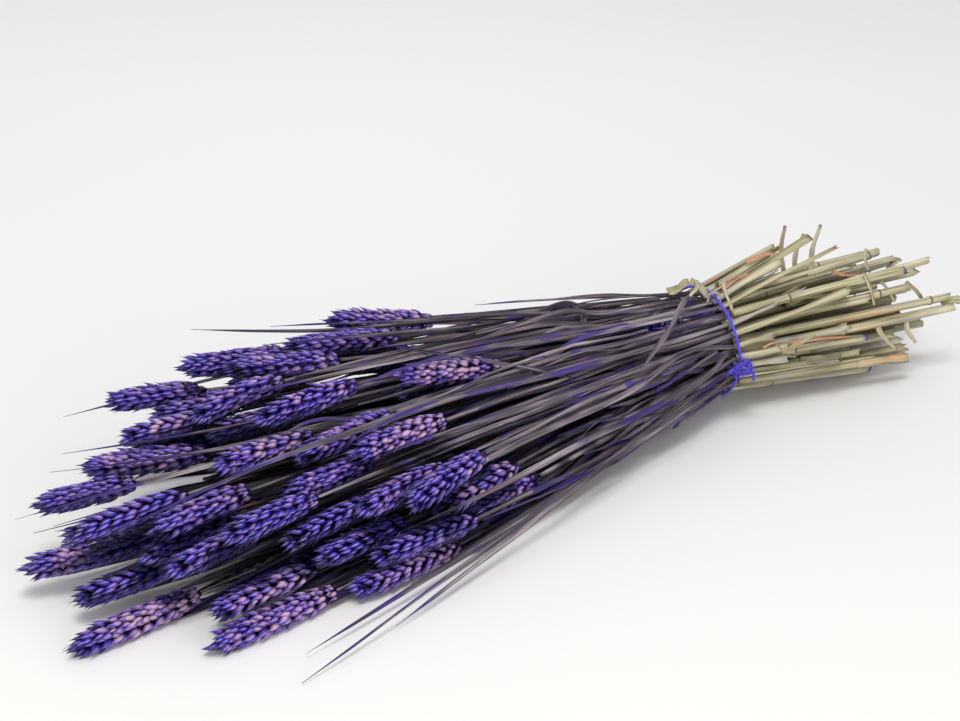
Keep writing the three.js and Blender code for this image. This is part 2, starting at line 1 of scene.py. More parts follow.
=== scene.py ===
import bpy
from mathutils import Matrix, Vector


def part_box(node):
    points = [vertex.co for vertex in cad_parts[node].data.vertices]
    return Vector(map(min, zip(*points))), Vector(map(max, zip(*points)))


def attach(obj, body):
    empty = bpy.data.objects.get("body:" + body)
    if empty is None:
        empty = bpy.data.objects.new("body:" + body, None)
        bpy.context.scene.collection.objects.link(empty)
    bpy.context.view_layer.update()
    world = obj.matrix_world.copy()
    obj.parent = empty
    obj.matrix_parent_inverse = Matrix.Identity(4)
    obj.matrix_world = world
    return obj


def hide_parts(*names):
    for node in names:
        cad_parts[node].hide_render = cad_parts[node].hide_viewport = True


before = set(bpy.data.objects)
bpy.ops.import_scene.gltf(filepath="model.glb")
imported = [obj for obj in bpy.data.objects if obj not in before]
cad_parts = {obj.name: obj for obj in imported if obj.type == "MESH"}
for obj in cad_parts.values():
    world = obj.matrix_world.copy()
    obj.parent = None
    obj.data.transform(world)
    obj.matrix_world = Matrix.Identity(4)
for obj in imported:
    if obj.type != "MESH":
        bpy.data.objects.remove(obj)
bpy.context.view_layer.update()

# A tied bundle of dried, dyed wheat, lying on its side.
# The routes of stalks, leaves and straws are those of the solids: the same tables, in millimetres from the
# middle of the bundle under the string on the floor (ears to -X, cut ends to +X), settled by the same rule.
# Finer heads, stems, leaves, straws and string are then grown along them.
import math

import bpy
import numpy as np
from mathutils import Vector

# ---------------------------------------------------------------- dimensions, in millimetres
SEED = 4127
WAIST_Y, WAIST_Z, WAIST_HEIGHT = 43.5, 36.5, 45.0
FAN_ROOT, FAN_SPREAD, FAN_REACH, FAN_LEAN, FAN_MIDDLE = 45.0, 88.0, 150.0, 0.03, 47.0
EAR_WIDTH, EAR_FULL_LENGTH, EAR_NARROWEST = 16.4, 66.0, 0.65
EAR_FLATNESS, EAR_BASE, EAR_APEX, EAR_SHOULDER, EAR_TAPER = 0.84, 0.4, 0.3, 0.22, 0.6
CULM_WAIST, CULM_MIDDLE, CULM_NECK, CULM_LOWER, CULM_UPPER, CULM_STEP = 2.9, 2.3, 1.7, 160.0, 200.0, 72.0
BLADE_SHEATH, BLADE_WIDE, BLADE_TIP, BLADE_OPENED, BLADE_NARROWS = 3.4, 5.8, 1.2, 0.4, 0.6
BLADE_FACING, BLADE_TWIST, BLADE_LONGEST = 0.8, 0.9, 75.0
STRAW_RADIUS, STRAW_THINNEST, STRAW_THICKEST, STRAW_SHORTEST, STRAW_LONGEST = 3.0, 0.85, 1.12, 105.0, 200.0
LOWEST_LONGEST, LOWEST_BELOW = 0.72, 0.45
BUTT_FLARE, BUTT_ASIDE, BUTT_SAG, BUTT_LIFT, BUTT_JITTER, BUTT_BITE = 0.27, -9.0, -10.0, 9.0, 2.0, 1.5
STUB_SHORTEST, STUB_LONGEST, STUB_RISE, STUB_AWAY, STUB_RISEN = 0.2, 0.75, 17.0, 14.0, 90.0
STRING_RADIUS, STRING_GAP, FIT = 1.7, 0.7, 0.3
STATION, SLOT_RADIUS, SLOT_PASSES, SLOT_GAIN = 10.0, 3.8, 400, 0.25
SETTLE_PASSES, SETTLE_LAST, SETTLE_PULL, SETTLE_BEND, SETTLE_GAIN = 300, 100, 0.05, 0.15, 1.2
GIVE, GIVE_PULL = np.array([0.86, -0.51]), 0.25
ROOM_EARS, ROOM_STEMS, ROOM_BLADES, ROOM_FLOOR = 0.9, 0.2, 0.3, -0.9
TINY = 1e-6
MM = 1000  # in a metre
LEAST_HEIGHT = 0.05  # of any point over the floor

# One ear a row: its tip, then its base.
EARS = [
    (-490, -105, 7, -408, -88, 9), (-419, -136, 7, -334, -128, 8), (-410, -123, 18, -343, -113, 24),
    (-393, -104, 12, -329, -91, 18), (-478, -75, 18, -412, -74, 23), (-501, -37, 22, -438, -48, 24),
    (-327, -124, 9, -248, -119, 9), (-311, -118, 23, -236, -112, 22), (-344, -115, 30, -278, -107, 34),
    (-355, -100, 20, -293, -89, 24), (-477, -59, 50, -401, -60, 63), (-465, -51, 30, -403, -57, 37),
    (-431, -78, 52, -367, -68, 63), (-439, -79, 36, -373, -72, 43), (-429, -104, 41, -364, -95, 52),
    (-397, -99, 50, -333, -91, 59), (-383, -53, 70, -317, -54, 76), (-361, -108, 42, -299, -96, 49),
    (-350, -83, 59, -288, -77, 64), (-314, -105, 48, -249, -90, 55), (-335, -73, 74, -262, -50, 84),
    (-305, -76, 71, -236, -60, 76), (-287, -109, 49, -224, -84, 63), (-266, -90, 36, -206, -69, 45),
    (-265, -111, 38, -198, -91, 45), (-240, -104, 26, -178, -91, 28), (-449, -3, 60, -373, -19, 55),
    (-485, -10, 46, -422, -15, 51), (-422, 17, 62, -358, 8, 71), (-409, 25, 47, -343, 12, 46),
    (-379, 6, 68, -315, 18, 85), (-372, 1, 66, -308, -9, 71), (-351, -36, 84, -278, -21, 90),
    (-254, -22, 89, -178, -34, 74), (-241, -8, 64, -177, -12, 61), (-418, 68, 62, -353, 57, 60),
    (-394, 55, 53, -328, 43, 56), (-369, 70, 75, -290, 57, 73), (-345, 40, 83, -270, 18, 82),
    (-302, 48, 85, -224, 35, 81), (-262, 74, 85, -189, 50, 76), (-270, 47, 69, -206, 28, 69),
    (-440, 62, 20, -370, 50, 23), (-400, 95, 7, -330, 84, 9), (-350, 112, 22, -280, 94, 26),
    (-330, 85, 48, -262, 72, 51), (-296, 108, 8, -228, 86, 10), (-424, 12, 8, -350, 8, 11),
    (-382, -42, 20, -312, -36, 26), (-304, 18, 9, -232, 13, 18), (-250, 90, 40, -185, 68, 45),
    (-62, -24, 79, -28, -19, 76),
]
# One leaf a row: the points that its free part passes, from the string outwards.
LEAVES = [
    [(-190, 10, 96), (-265, 28, 93), (-355, 80, 96)],
    [(-125, -8, 93), (-216, 20, 96), (-303, 72, 90)],
    [(-160, 2, 94), (-230, 14, 98), (-319, 40, 95)],
    [(-250, -30, 84), (-359, -30, 76), (-407, -14, 71), (-460, 10, 66)],
    [(-250, -20, 60), (-380, -32, 62), (-470, 2, 60)],
    [(-300, -32, 62), (-452, -32, 58), (-498, -22, 48)],
    [(-280, -48, 52), (-460, -38, 46), (-489, -26, 38)],
    [(-220, -56, 82), (-359, -66, 79), (-413, -74, 68), (-449, -78, 60)],
    [(-280, -92, 34), (-405, -112, 26), (-430, -118, 20)],
    [(-200, -28, 92), (-307, -42, 94), (-355, -62, 84)],
    [(-200, -12, 92), (-314, -16, 92), (-361, 2, 84)],
    [(-160, -18, 90), (-258, -26, 98), (-291, -40, 94)],
    [(-123, -58, 78), (-196, -56, 81), (-278, -60, 84), (-313, -76, 73)],
    [(-129, -68, 66), (-192, -78, 72), (-255, -82, 75), (-293, -84, 70)],
    [(-100, -70, 60), (-165, -82, 60), (-259, -104, 53), (-292, -103, 40)],
    [(-150, -84, 42), (-259, -114, 45), (-291, -118, 36)],
    [(-120, -84, 30), (-215, -122, 20), (-268, -137, 14), (-334, -162, 5), (-380, -184, 2)],
    [(-180, -100, 16), (-306, -146, 10), (-370, -163, 4)],
    [(-110, -76, 24), (-215, -130, 20), (-254, -140, 14), (-314, -162, 4)],
    [(-53, 6, 88), (-110, 18, 95), (-170, 29, 97)],
    [(-100, -9, 85), (-107, -3, 97), (-120, 0, 98), (-144, -2, 93), (-181, -1, 88)],
    [(-180, 50, 66), (-300, 75, 62), (-440, 112, 34)],
    [(-160, 66, 40), (-260, 98, 36), (-380, 140, 10)],
    [(-110, 54, 60), (-200, 84, 58), (-300, 132, 34)],
    [(-180, -50, 8), (-300, -78, 6), (-420, -96, 3)],
    [(-200, 24, 8), (-340, 34, 8), (-470, 26, 6)],
    [(-90, 40, 76), (-160, 56, 74), (-250, 104, 66)],
    [(-160, 30, 20), (-270, 60, 10), (-360, 70, 4)],
]
# Two stiff blades that lie across the stems, from their roots outwards.
CROSSING = [
    [(-5, -2, 79), (-20, -10, 91), (-56, -39, 87), (-96, -67, 74)],
    [(-5, -38, 55), (-28, -58, 54), (-56, -71, 52), (-88, -81, 50)],
]
# Torn scraps of sheath among the cut ends: root, then tip.
SCRAPS = [
    [(84, 30, 78), (90, 36, 104)],
    [(88, 28, 82), (101, 26, 99)],
    [(96, 10, 79), (111, 20, 107)],
    [(150, -22, 66), (160, -16, 84)],
    [(146, -40, 52), (150, -54, 34)],
    [(120, -48, 50), (128, -60, 36)],
    [(60, -42, 34), (82, -54, 40)],
    [(24, 12, 78), (10, 4, 88)],
]

# Where the tables' origin lies in the frame: the string's ring and the gap under it give it.
ORIGIN = np.array([
    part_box("butts")[0].x * MM - FIT / 2,
    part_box("tie")[1].y * MM - (WAIST_Y + STRING_GAP + 2 * STRING_RADIUS),
    0.0,
])


# ---------------------------------------------------------------- small tools
def mix(a, b, t):
    return a + (b - a) * t


def smooth(t):
    u = np.clip(t, 0.0, 1.0)
    return u * u * (3 - 2 * u)


def rising(t, start, run):
    """From 0 at start to 1 after run, smoothly."""
    return smooth((t - start) / run)


def narrowing(t, start, run, least):
    """From 1 at start to least after run, smoothly."""
    return mix(1, least, rising(t, start, run))


def unit(v):
    return v / np.maximum(np.linalg.norm(v, axis=-1, keepdims=True), TINY)


def make_random(seed):
    """The same repeatable numbers from 0 to 1 as the solids' source draws."""
    full = 0xFFFFFFFF
    state = seed

    def draw():
        nonlocal state
        state = (state + 0x6D2B79F5) & full
        t = ((state ^ (state >> 15)) * (1 | state)) & full
        t = ((t + (((t ^ (t >> 7)) * (61 | t)) & full)) & full) ^ t
        return (t ^ (t >> 14)) / 4294967296

    return draw


def bend(t, first, last):
    """What the slopes at both ends add to a smooth curve."""
    return first * (t**3 - 2 * t**2 + t) + last * (t**3 - t**2)


def spline(knots, step):
    """Points about step apart on a smooth curve through the knots."""
    knots = np.asarray(knots, float)
    gaps = np.linalg.norm(np.diff(knots, axis=0), axis=1)
    at = np.concatenate([[0], np.cumsum(gaps)])
    slopes = np.gradient(knots, at, axis=0)
    wanted = np.linspace(0, at[-1], max(3, int(at[-1] / step) + 1))
    k = np.clip(np.searchsorted(at, wanted, "right") - 1, 0, len(gaps) - 1)
    long = gaps[k][:, None]
    t = (wanted - at[k])[:, None] / long
    straight = knots[k] + (knots[k + 1] - knots[k]) * (3 * t**2 - 2 * t**3)
    return straight + long * bend(t, slopes[k], slopes[k + 1])


def distances(path):
    return np.concatenate([[0], np.cumsum(np.linalg.norm(np.diff(path, axis=0), axis=1))])


def wander(count, knots, amount):
    """A smooth random line of count numbers within about +-amount, drawn from the section's rng."""
    values = rng.uniform(-amount, amount, knots + 2)
    at = np.linspace(0, knots + 1, count)
    k = np.minimum(at.astype(int), knots)
    return mix(values[k], values[k + 1], smooth(at - k))


def directions(path, facing=(0.0, 0.0, 1.0)):
    """Along, aside and over at each point of a path: over is the nearest way to facing."""
    along = unit(np.gradient(path, axis=0))
    side = unit(np.cross(facing, along))
    return along, side, np.cross(along, side)


def shares(path):
    """How many points a path has, and the share of the count at each of them."""
    return len(path), np.linspace(0, 1, len(path))


def sampled(track, at, wanted):
    """The rows of a track at the wanted distances; at is the distance of each of its own rows."""
    return np.stack([np.interp(wanted, at, column) for column in track.T], axis=-1)


def lying(path, height):
    """The same path, nowhere lower than height."""
    path = path.copy()
    path[:, 2] = np.maximum(path[:, 2], height)
    return path


class Shape:
    """Points, faces and per-point numbers, gathered until they become one mesh."""

    def __init__(self):
        self.points, self.faces, self.grain, self.dye, self.count = [], [], [], [], 0

    def add(self, points, faces, grain, dye):
        """grain is along, across and the piece's own number; dye is how strongly it took the dye, and at a
        straw's hollow end and a head's core it also carries painted shade.
        """
        points = np.asarray(points, float)
        self.points.append(points)
        self.faces.extend((np.asarray(f) + self.count) for f in faces)
        self.grain.append(np.broadcast_to(grain, points.shape))
        self.dye.append(np.broadcast_to(dye, points.shape[:1]))
        self.count += len(points)

    def mesh(self, name, material, replaced, slot, crown=None, least=0.0):
        """least is the least depth that its points get, so the least painted shade."""
        places = lying(np.concatenate(self.points), LEAST_HEIGHT)
        faces = [face for block in self.faces for face in block.tolist()]
        mesh = bpy.data.meshes.new(name)
        mesh.from_pydata((places + ORIGIN) / MM, [], faces)
        mesh.polygons.foreach_set("use_smooth", np.ones(len(mesh.polygons), bool))
        numbers = {"grain": np.concatenate(self.grain), "dye": np.concatenate(self.dye)}
        if crown:
            numbers["depth"] = np.maximum(least, crown.depth(places))
        for key, values in numbers.items():
            kind, field = ("FLOAT_VECTOR", "vector") if key == "grain" else ("FLOAT", "value")
            made = mesh.attributes.new(key, kind, "POINT")
            made.data.foreach_set(field, values.astype(np.float32).ravel())
        mesh.materials.append(material)
        piece = bpy.data.objects.new(name, mesh)
        bpy.context.collection.objects.link(piece)
        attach(piece, "root")
        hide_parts(*replaced)


class Crown:
    """How deep inside some points a place lies: under their top, over their bottom and within their rim,
    which is their farthest distance from the middle of each slice, all round it. The materials darken by this
    depth as painted shade."""

    CELL, SLICE, WAYS = 4.0, 8.0, 40
    REACH, BLURS, FAR = 9.0, 2, 1e3

    def __init__(self, points):
        self.low = points[:, :2].min(0) - 2 * self.CELL
        self.size = ((points[:, :2].max(0) - self.low) / self.CELL).astype(int) + 3
        self.top, self.bottom = np.full(self.size, -self.FAR), np.full(self.size, self.FAR)
        np.maximum.at(self.top, self.cells(points), points[:, 2])
        np.minimum.at(self.bottom, self.cells(points), points[:, 2])
        filled = self.top > self.bottom
        slices = ((points[:, 0] - self.low[0]) / self.SLICE).astype(int)
        count = np.maximum(1, np.bincount(slices))[:, None]
        self.middle = np.stack([np.bincount(slices, points[:, k]) for k in (1, 2)], axis=1) / count
        self.rim = np.zeros((len(count), self.WAYS))
        places, radii = self.polar(points)
        np.maximum.at(self.rim, places, radii)
        for _ in range(self.BLURS):
            self.top, self.bottom = self.blurred(self.top, filled), self.blurred(self.bottom, filled)
            self.rim = self.blurred(self.rim, self.rim > 0)

    @staticmethod
    def blurred(grid, filled):
        """Each filled cell becomes the mean of the filled cells of its 3 x 3 neighbourhood."""
        total, count = np.zeros_like(grid), np.zeros_like(grid)
        for i in (-1, 0, 1):
            for j in (-1, 0, 1):
                total += np.roll(np.where(filled, grid, 0), (i, j), (0, 1))
                count += np.roll(filled, (i, j), (0, 1))
        return np.where(filled, total / np.maximum(count, 1), grid)

    def cells(self, points):
        return tuple(((points[:, :2] - self.low) / self.CELL).astype(int).clip(0, self.size - 1).T)

    def polar(self, points):
        slices = ((points[:, 0] - self.low[0]) / self.SLICE).astype(int).clip(0, len(self.middle) - 1)
        y, z = (points[:, 1:] - self.middle[slices]).T
        ways = ((np.arctan2(z, y) / math.tau + 0.5) * self.WAYS).astype(int) % self.WAYS
        return (slices, ways), np.hypot(y, z)

    def depth(self, points):
        cells = self.cells(points)
        places, radii = self.polar(points)
        inside = np.minimum(self.top[cells] - points[:, 2], points[:, 2] - self.bottom[cells])
        return smooth(np.minimum(inside, self.rim[places] - radii) / self.REACH)


def skin(rings, around):
    """Quads between rings of points, with the first and the last ring closed by triangles to two poles."""
    ring, column = np.meshgrid(np.arange(rings - 1), np.arange(around), indexing="ij")
    here = (ring * around + column).ravel()
    beside = (ring * around + (column + 1) % around).ravel()
    sides = np.stack([here, beside, beside + around, here + around], axis=1)
    column = np.arange(around)
    after = (column + 1) % around
    first, last = rings * around, rings * around + 1
    head = np.stack([after, column, np.full(around, first)], axis=1)
    end = (rings - 1) * around
    tail = np.stack([end + column, end + after, np.full(around, last)], axis=1)
    return [sides, head, tail]


def sweep(shape, path, outline, roll, luck, dye=0.0, frame_of=None, at=None, rough=0.0):
    """Sweeps an outline (rings x points x 2) along a path and adds it, closed, to the shape. Its points are
    moved along the path by rough, and its grain counts from at."""
    along, side, over = frame_of or directions(path)
    roll = np.broadcast_to(roll, len(path))[:, None]
    u_way = side * np.cos(roll) + over * np.sin(roll)
    v_way = over * np.cos(roll) - side * np.sin(roll)
    points = path[:, None] + outline[..., :1] * u_way[:, None] + outline[..., 1:] * v_way[:, None]
    poles = np.stack([points[0].mean(0), points[-1].mean(0)])
    rings, around = outline.shape[:2]
    points = points + along[:, None] * np.broadcast_to(rough, (rings, around))[..., None]
    grain = np.empty((rings, around, 3))
    grain[..., 0] = (distances(path) if at is None else at)[:, None]
    grain[..., 1] = np.linspace(0, 1, around, endpoint=False)
    grain[..., 2] = luck
    dye = np.broadcast_to(np.asarray(dye, float).reshape(-1, 1), (rings, around))
    shape.add(
        np.concatenate([points.reshape(-1, 3), poles]),
        skin(rings, around),
        np.concatenate([grain.reshape(-1, 3), [grain[0, 0], grain[-1, 0]]]),
        np.concatenate([dye.ravel(), [dye[0, 0], dye[-1, 0]]]),
    )


def tube(radii, around, flat=1.0, seam=0.0, ribs=0, depth=0.0):
    """A round outline, also flattened, ribbed and wider round to its seam, where a sheath overlaps."""
    angle = np.linspace(0, math.tau, around, endpoint=False)
    radius = 1 + depth * np.cos(ribs * angle) + seam * (angle / math.tau - 0.5)
    ring = np.stack([np.cos(angle) * radius, np.sin(angle) * radius * flat], axis=1)
    return np.asarray(radii, float)[:, None, None] * ring


def blade_outline(width, fold, curl, thick):
    """A leaf's section: a shallow fold along the midrib, with its edges curling over."""
    aside = np.array([1, 0.55, 0, -0.55, -1, -0.55, 0, 0.55])
    below = np.array([0, 0, 0, 0, 0, 1, 1, 1])
    width, fold, curl, thick = (np.asarray(x, float)[:, None] for x in (width, fold, curl, thick))
    u = aside * np.cos(fold) * (1 - 0.25 * curl * aside**2) * width / 2
    v = (np.abs(aside) * np.sin(fold) + curl * aside**4) * width / 2 - below * thick
    return np.stack([u, v], axis=2)


# ---------------------------------------------------------------- the routes, as the solids have them
def ear_plump(t):
    return mix(EAR_BASE, 1, smooth(t / EAR_SHOULDER)) * narrowing(t, EAR_TAPER, 1 - EAR_TAPER, EAR_APEX)


def blade_width(t):
    opened = mix(BLADE_SHEATH, BLADE_WIDE, smooth(t / BLADE_OPENED))
    return mix(opened, BLADE_TIP, rising(t, BLADE_NARROWS, 1 - BLADE_NARROWS))


def culm_radius(distance):
    lower = mix(CULM_WAIST, CULM_MIDDLE, smooth(distance / CULM_LOWER))
    return mix(lower, CULM_NECK, rising(distance, CULM_LOWER, CULM_UPPER))


def waist_slots(aims):
    half = np.array([WAIST_Y - CULM_WAIST, WAIST_Z - CULM_WAIST])
    wide = FAN_ROOT + FAN_SPREAD * (1 - np.exp(aims[:, 0] / FAN_REACH))
    places = np.stack([(aims[:, 1] - FAN_LEAN * aims[:, 0]) / wide, aims[:, 2] / FAN_MIDDLE - 1], axis=1)
    places = places / np.maximum(1, np.linalg.norm(places, axis=1, keepdims=True)) * half
    for _ in range(SLOT_PASSES):
        way = places[:, None] - places[None]
        apart = np.linalg.norm(way, axis=2) + TINY
        push = SLOT_GAIN * np.maximum(0, 2 * SLOT_RADIUS - apart) / apart
        places = places + (push[..., None] * way).sum(1)
        places = places / np.maximum(1, np.linalg.norm(places / half, axis=1, keepdims=True))
    return np.concatenate([np.zeros((len(places), 1)), places + [0, WAIST_HEIGHT]], axis=1)


def stalk_strand(row, slot):
    tip, base = np.array(row[:3], float), np.array(row[3:], float)
    chord = base - slot
    onward = mix((tip - base) * (base[0] / (tip[0] - base[0])), chord, 0.5)
    parts = max(1, math.floor(-base[0] / CULM_STEP + 0.5))
    knots = []
    for k in range(parts):
        t = k / parts
        knots.append(mix(slot, base, 3 * t**2 - 2 * t**3) + bend(t, chord, onward))
    knots += [base, mix(base, tip, 0.5), tip]
    long = np.linalg.norm(tip - base)
    width = EAR_WIDTH * min(1, max(EAR_NARROWEST, long / EAR_FULL_LENGTH))
    start, reach = base[0], base[0] - tip[0]

    def radius_at(x):
        t = (start - x) / reach
        return culm_radius(-x) if t < 0 else ear_plump(t) * width / 2

    return {"ear_from": parts, "knots": np.array(knots), "radius_at": radius_at, "width": width}


def leaf_strand(row, slot=None):
    knots = [] if slot is None else [slot]
    for point in np.array(row, float):
        if knots and knots[-1][0] - point[0] > BLADE_LONGEST:
            knots.append(mix(knots[-1], point, 0.5))
        knots.append(point)
    start, reach = knots[0][0], knots[0][0] - knots[-1][0]

    def radius_at(x):
        return blade_width((start - x) / reach) / 2 + ROOM_BLADES

    return {"ear_from": len(knots), "knots": np.array(knots), "radius_at": radius_at}


def sections_of(strands, starts):
    """Where each strand is cut by each section, and which pairs of cuts share a section."""
    cuts = []
    for strand, start in zip(strands, starts):
        knots = strand["knots"]
        passed = [math.floor(-knot[0] / STATION) for knot in knots]
        for j in range(len(knots) - 1):
            run = knots[j][0] - knots[j + 1][0]
            slant = np.linalg.norm(knots[j] - knots[j + 1]) / run
            for station in range(passed[j] + 1, passed[j + 1] + 1):
                x = -station * STATION
                radius = strand["radius_at"](x) * slant
                along = (knots[j][0] - x) / run
                cuts.append((station, start + j, along, radius, j >= strand["ear_from"]))
    section, knot, along, radius, is_ear = (np.array(column) for column in zip(*cuts))
    first, second = np.nonzero(np.triu(section[:, None] == section[None], 1))
    room = np.where(is_ear[first] | is_ear[second], ROOM_EARS, ROOM_STEMS)
    return knot, along, radius, first, second, radius[first] + radius[second] + room


def settle(strands):
    """Push the strands apart, section by section, with a weak pull back to where they were laid."""
    lengths = [len(strand["knots"]) for strand in strands]
    starts = np.concatenate([[0], np.cumsum(lengths)[:-1]])
    knot, along, radius, first, second, least = sections_of(strands, starts)
    knots = np.concatenate([strand["knots"] for strand in strands])
    aims = knots[:, 1:].copy()
    free = np.ones(len(knots), bool)
    free[starts] = False
    for turn in range(SETTLE_PASSES):
        place = knots[:, 1:]
        spots = mix(place[knot], place[knot + 1], along[:, None])
        shift = np.zeros((len(knot), 3))
        way = spots[second] - spots[first]
        apart = np.linalg.norm(way, axis=1) + TINY
        push = (least - apart) / 2 / apart
        hit = push > 0
        step = way[hit] * push[hit][:, None]
        np.add.at(shift, first[hit], np.column_stack([-step, np.ones(len(step))]))
        np.add.at(shift, second[hit], np.column_stack([step, np.ones(len(step))]))
        sink = radius + ROOM_FLOOR - spots[:, 1]
        low = sink > 0
        shift[low] += np.column_stack([np.zeros(low.sum()), sink[low], np.ones(low.sum())])
        moves = np.zeros((len(knots), 3))
        moves[:, 2] = TINY
        np.add.at(moves, knot, shift * (1 - along[:, None]))
        np.add.at(moves, knot + 1, shift * along[:, None])
        place[free] += SETTLE_GAIN * moves[free, :2] / moves[free, 2:]
        if turn >= SETTLE_PASSES - SETTLE_LAST:
            continue
        off = aims - place
        off += GIVE * ((off @ GIVE) * (GIVE_PULL - 1))[:, None]
        place[free] += SETTLE_PULL * off[free]
        for start, length in zip(starts, lengths):
            for j in range(start + 1, start + length - 1):
                t = (knots[j - 1, 0] - knots[j, 0]) / (knots[j - 1, 0] - knots[j + 1, 0])
                knots[j, 1:] += SETTLE_BEND * (mix(knots[j - 1, 1:], knots[j + 1, 1:], t) - knots[j, 1:])
    for strand, start, length in zip(strands, starts, lengths):
        strand["knots"] = knots[start:start + length]


draw = make_random(SEED)
slots = waist_slots(np.array([row[3:] for row in EARS] + [row[1] for row in LEAVES], float))
stalks = [stalk_strand(row, slot) for row, slot in zip(EARS, slots)]
leaves = [leaf_strand(row, slot) for row, slot in zip(LEAVES, slots[len(EARS):])]
leaves += [leaf_strand(row) for row in CROSSING]
settle(stalks + leaves)
ear_rolls = [draw() * math.pi for _ in stalks]
leaf_twists = [mix(-BLADE_TWIST, BLADE_TWIST, draw()) for _ in leaves]
culm_rolls = [draw() * math.pi for _ in stalks]


def height_of(slot):
    """A slot's height among the others, from 0 for the lowest to 1 for the highest."""
    return float(np.clip((slot[2] - WAIST_HEIGHT) / (WAIST_Z - CULM_WAIST) / 2 + 0.5, 0, 1))


def straw_chain(slot):
    height = height_of(slot)
    longest = STRAW_LONGEST * mix(LOWEST_LONGEST, 1, smooth(height / LOWEST_BELOW))
    length = mix(STRAW_SHORTEST, longest, draw())
    t = length / STRAW_LONGEST
    flare = 1 + BUTT_FLARE * t
    y = slot[1] * flare + BUTT_ASIDE * t + mix(-1, 1, draw()) * BUTT_JITTER
    z = (slot[2] - WAIST_HEIGHT) * flare + WAIST_HEIGHT + mix(BUTT_SAG, BUTT_LIFT, height) * t
    z = max(z + mix(-1, 1, draw()) * BUTT_JITTER, STRAW_RADIUS - BUTT_BITE)
    return np.array([slot, [length, y, z]])


def stub_tip(chain):
    """The end of what is left of a leaf below the string; high ones stand off."""
    tip = mix(*chain, mix(STUB_SHORTEST, STUB_LONGEST, draw()))
    outside = max(0, 2 * height_of(chain[0]) - 1) * min(1, tip[0] / STUB_RISEN)
    return tip + np.array([0, STUB_AWAY, STUB_RISE]) * outside


chains = [straw_chain(slot) for slot in slots]
straw_radii = [STRAW_RADIUS * mix(STRAW_THINNEST, STRAW_THICKEST, draw()) for _ in stalks]
stub_tips = [stub_tip(chain) for chain in chains[len(EARS):]]


# ---------------------------------------------------------------- materials
class Paint:
    """A Principled material whose inputs are worked out by nodes."""

    def __init__(self, name, specular):
        self.material = bpy.data.materials.new(name)
        self.material.use_nodes = True
        self.tree = self.material.node_tree
        self.shader = self.tree.nodes["Principled BSDF"]
        self.shader.inputs["Specular IOR Level"].default_value = specular
        grain = self.node("Attribute", attribute_name="grain").outputs["Vector"]
        parts = self.node("SeparateXYZ", Vector=grain).outputs
        self.along, self.across, self.luck = parts["X"], parts["Y"], parts["Z"]
        self.dye = self.node("Attribute", attribute_name="dye").outputs["Fac"]
        self.depth = self.node("Attribute", attribute_name="depth").outputs["Fac"]
        self.place = self.node("TexCoord").outputs["Object"]

    def put(self, socket, value):
        if isinstance(value, bpy.types.NodeSocket):
            self.tree.links.new(value, socket)
        else:
            socket.default_value = value

    def node(self, kind, *inputs, **named):
        """Lower-case names are the node's settings, the others are its inputs."""
        made = self.tree.nodes.new("ShaderNode" + kind)
        for key, value in named.items():
            if key[0].islower():
                setattr(made, key, value)
            else:
                self.put(made.inputs[key], value)
        for socket, value in zip(made.inputs, inputs):
            self.put(socket, value)
        return made

    def sum(self, kind, *inputs):
        return self.node("Math", *inputs, operation=kind).outputs[0]

    def line(self, value, slope, start=0.0):
        """value x slope + start."""
        return self.sum("MULTIPLY_ADD", value, slope, start)

    def swing(self, noise, amount, middle):
        """middle, moved up and down by a noise whose own middle is 0.5."""
        return self.line(self.sum("SUBTRACT", noise, 0.5), amount, middle)

    def noise(self, vector, scale, detail):
        return self.node("TexNoise", Vector=vector, Scale=scale, Detail=detail).outputs[0]

    def streaks(self, along, across, luck, detail=2.0):
        """Noise that runs along a piece: how fast it changes along it, across it and between pieces."""
        grain = (self.line(self.along, along), self.line(self.across, across), self.line(self.luck, luck))
        return self.noise(self.node("CombineXYZ", *grain).outputs[0], 1.0, detail)

    def ramp(self, factor, *stops):
        """Each stop is its place, then red, green and blue."""
        made = self.node("ValToRGB", factor)
        elements = made.color_ramp.elements
        while len(elements) < len(stops):
            elements.new(0.5)
        for element, (at, *colour) in zip(elements, stops):
            element.position = at
            element.color = (*colour, 1)
        return made.outputs[0]

    def between(self, value, low, high):
        """0 below low, 1 above high."""
        made = self.node("MapRange", value, low, high, 0.0, 1.0, interpolation_type="SMOOTHSTEP")
        return made.outputs[0]

    def blend(self, factor, a, b, kind="MIX"):
        made = self.node("Mix", data_type="RGBA", blend_type=kind)
        for socket, value in ((0, factor), (6, a), (7, b)):
            self.put(made.inputs[socket], (*value, 1) if isinstance(value, tuple) else value)
        return made.outputs[2]

    def tinted(self, colour, tint, share, low, high, *grain):
        """Streaks of a tint, none where their noise is under low and its full share where over high."""
        return self.blend(self.line(self.between(self.streaks(*grain), low, high), share), colour, tint)

    def shaded(self, colour, shade):
        grey = self.node("CombineColor", shade, shade, shade).outputs[0]
        return self.blend(1.0, colour, grey, "MULTIPLY")

    def finish(self, colour, roughness, bump=None, height=0.0):
        self.put(self.shader.inputs["Base Color"], colour)
        self.put(self.shader.inputs["Roughness"], roughness)
        if bump:
            normal = self.node("Bump", Height=bump, Distance=height, Strength=1.0).outputs["Normal"]
            self.put(self.shader.inputs["Normal"], normal)
        return self.material


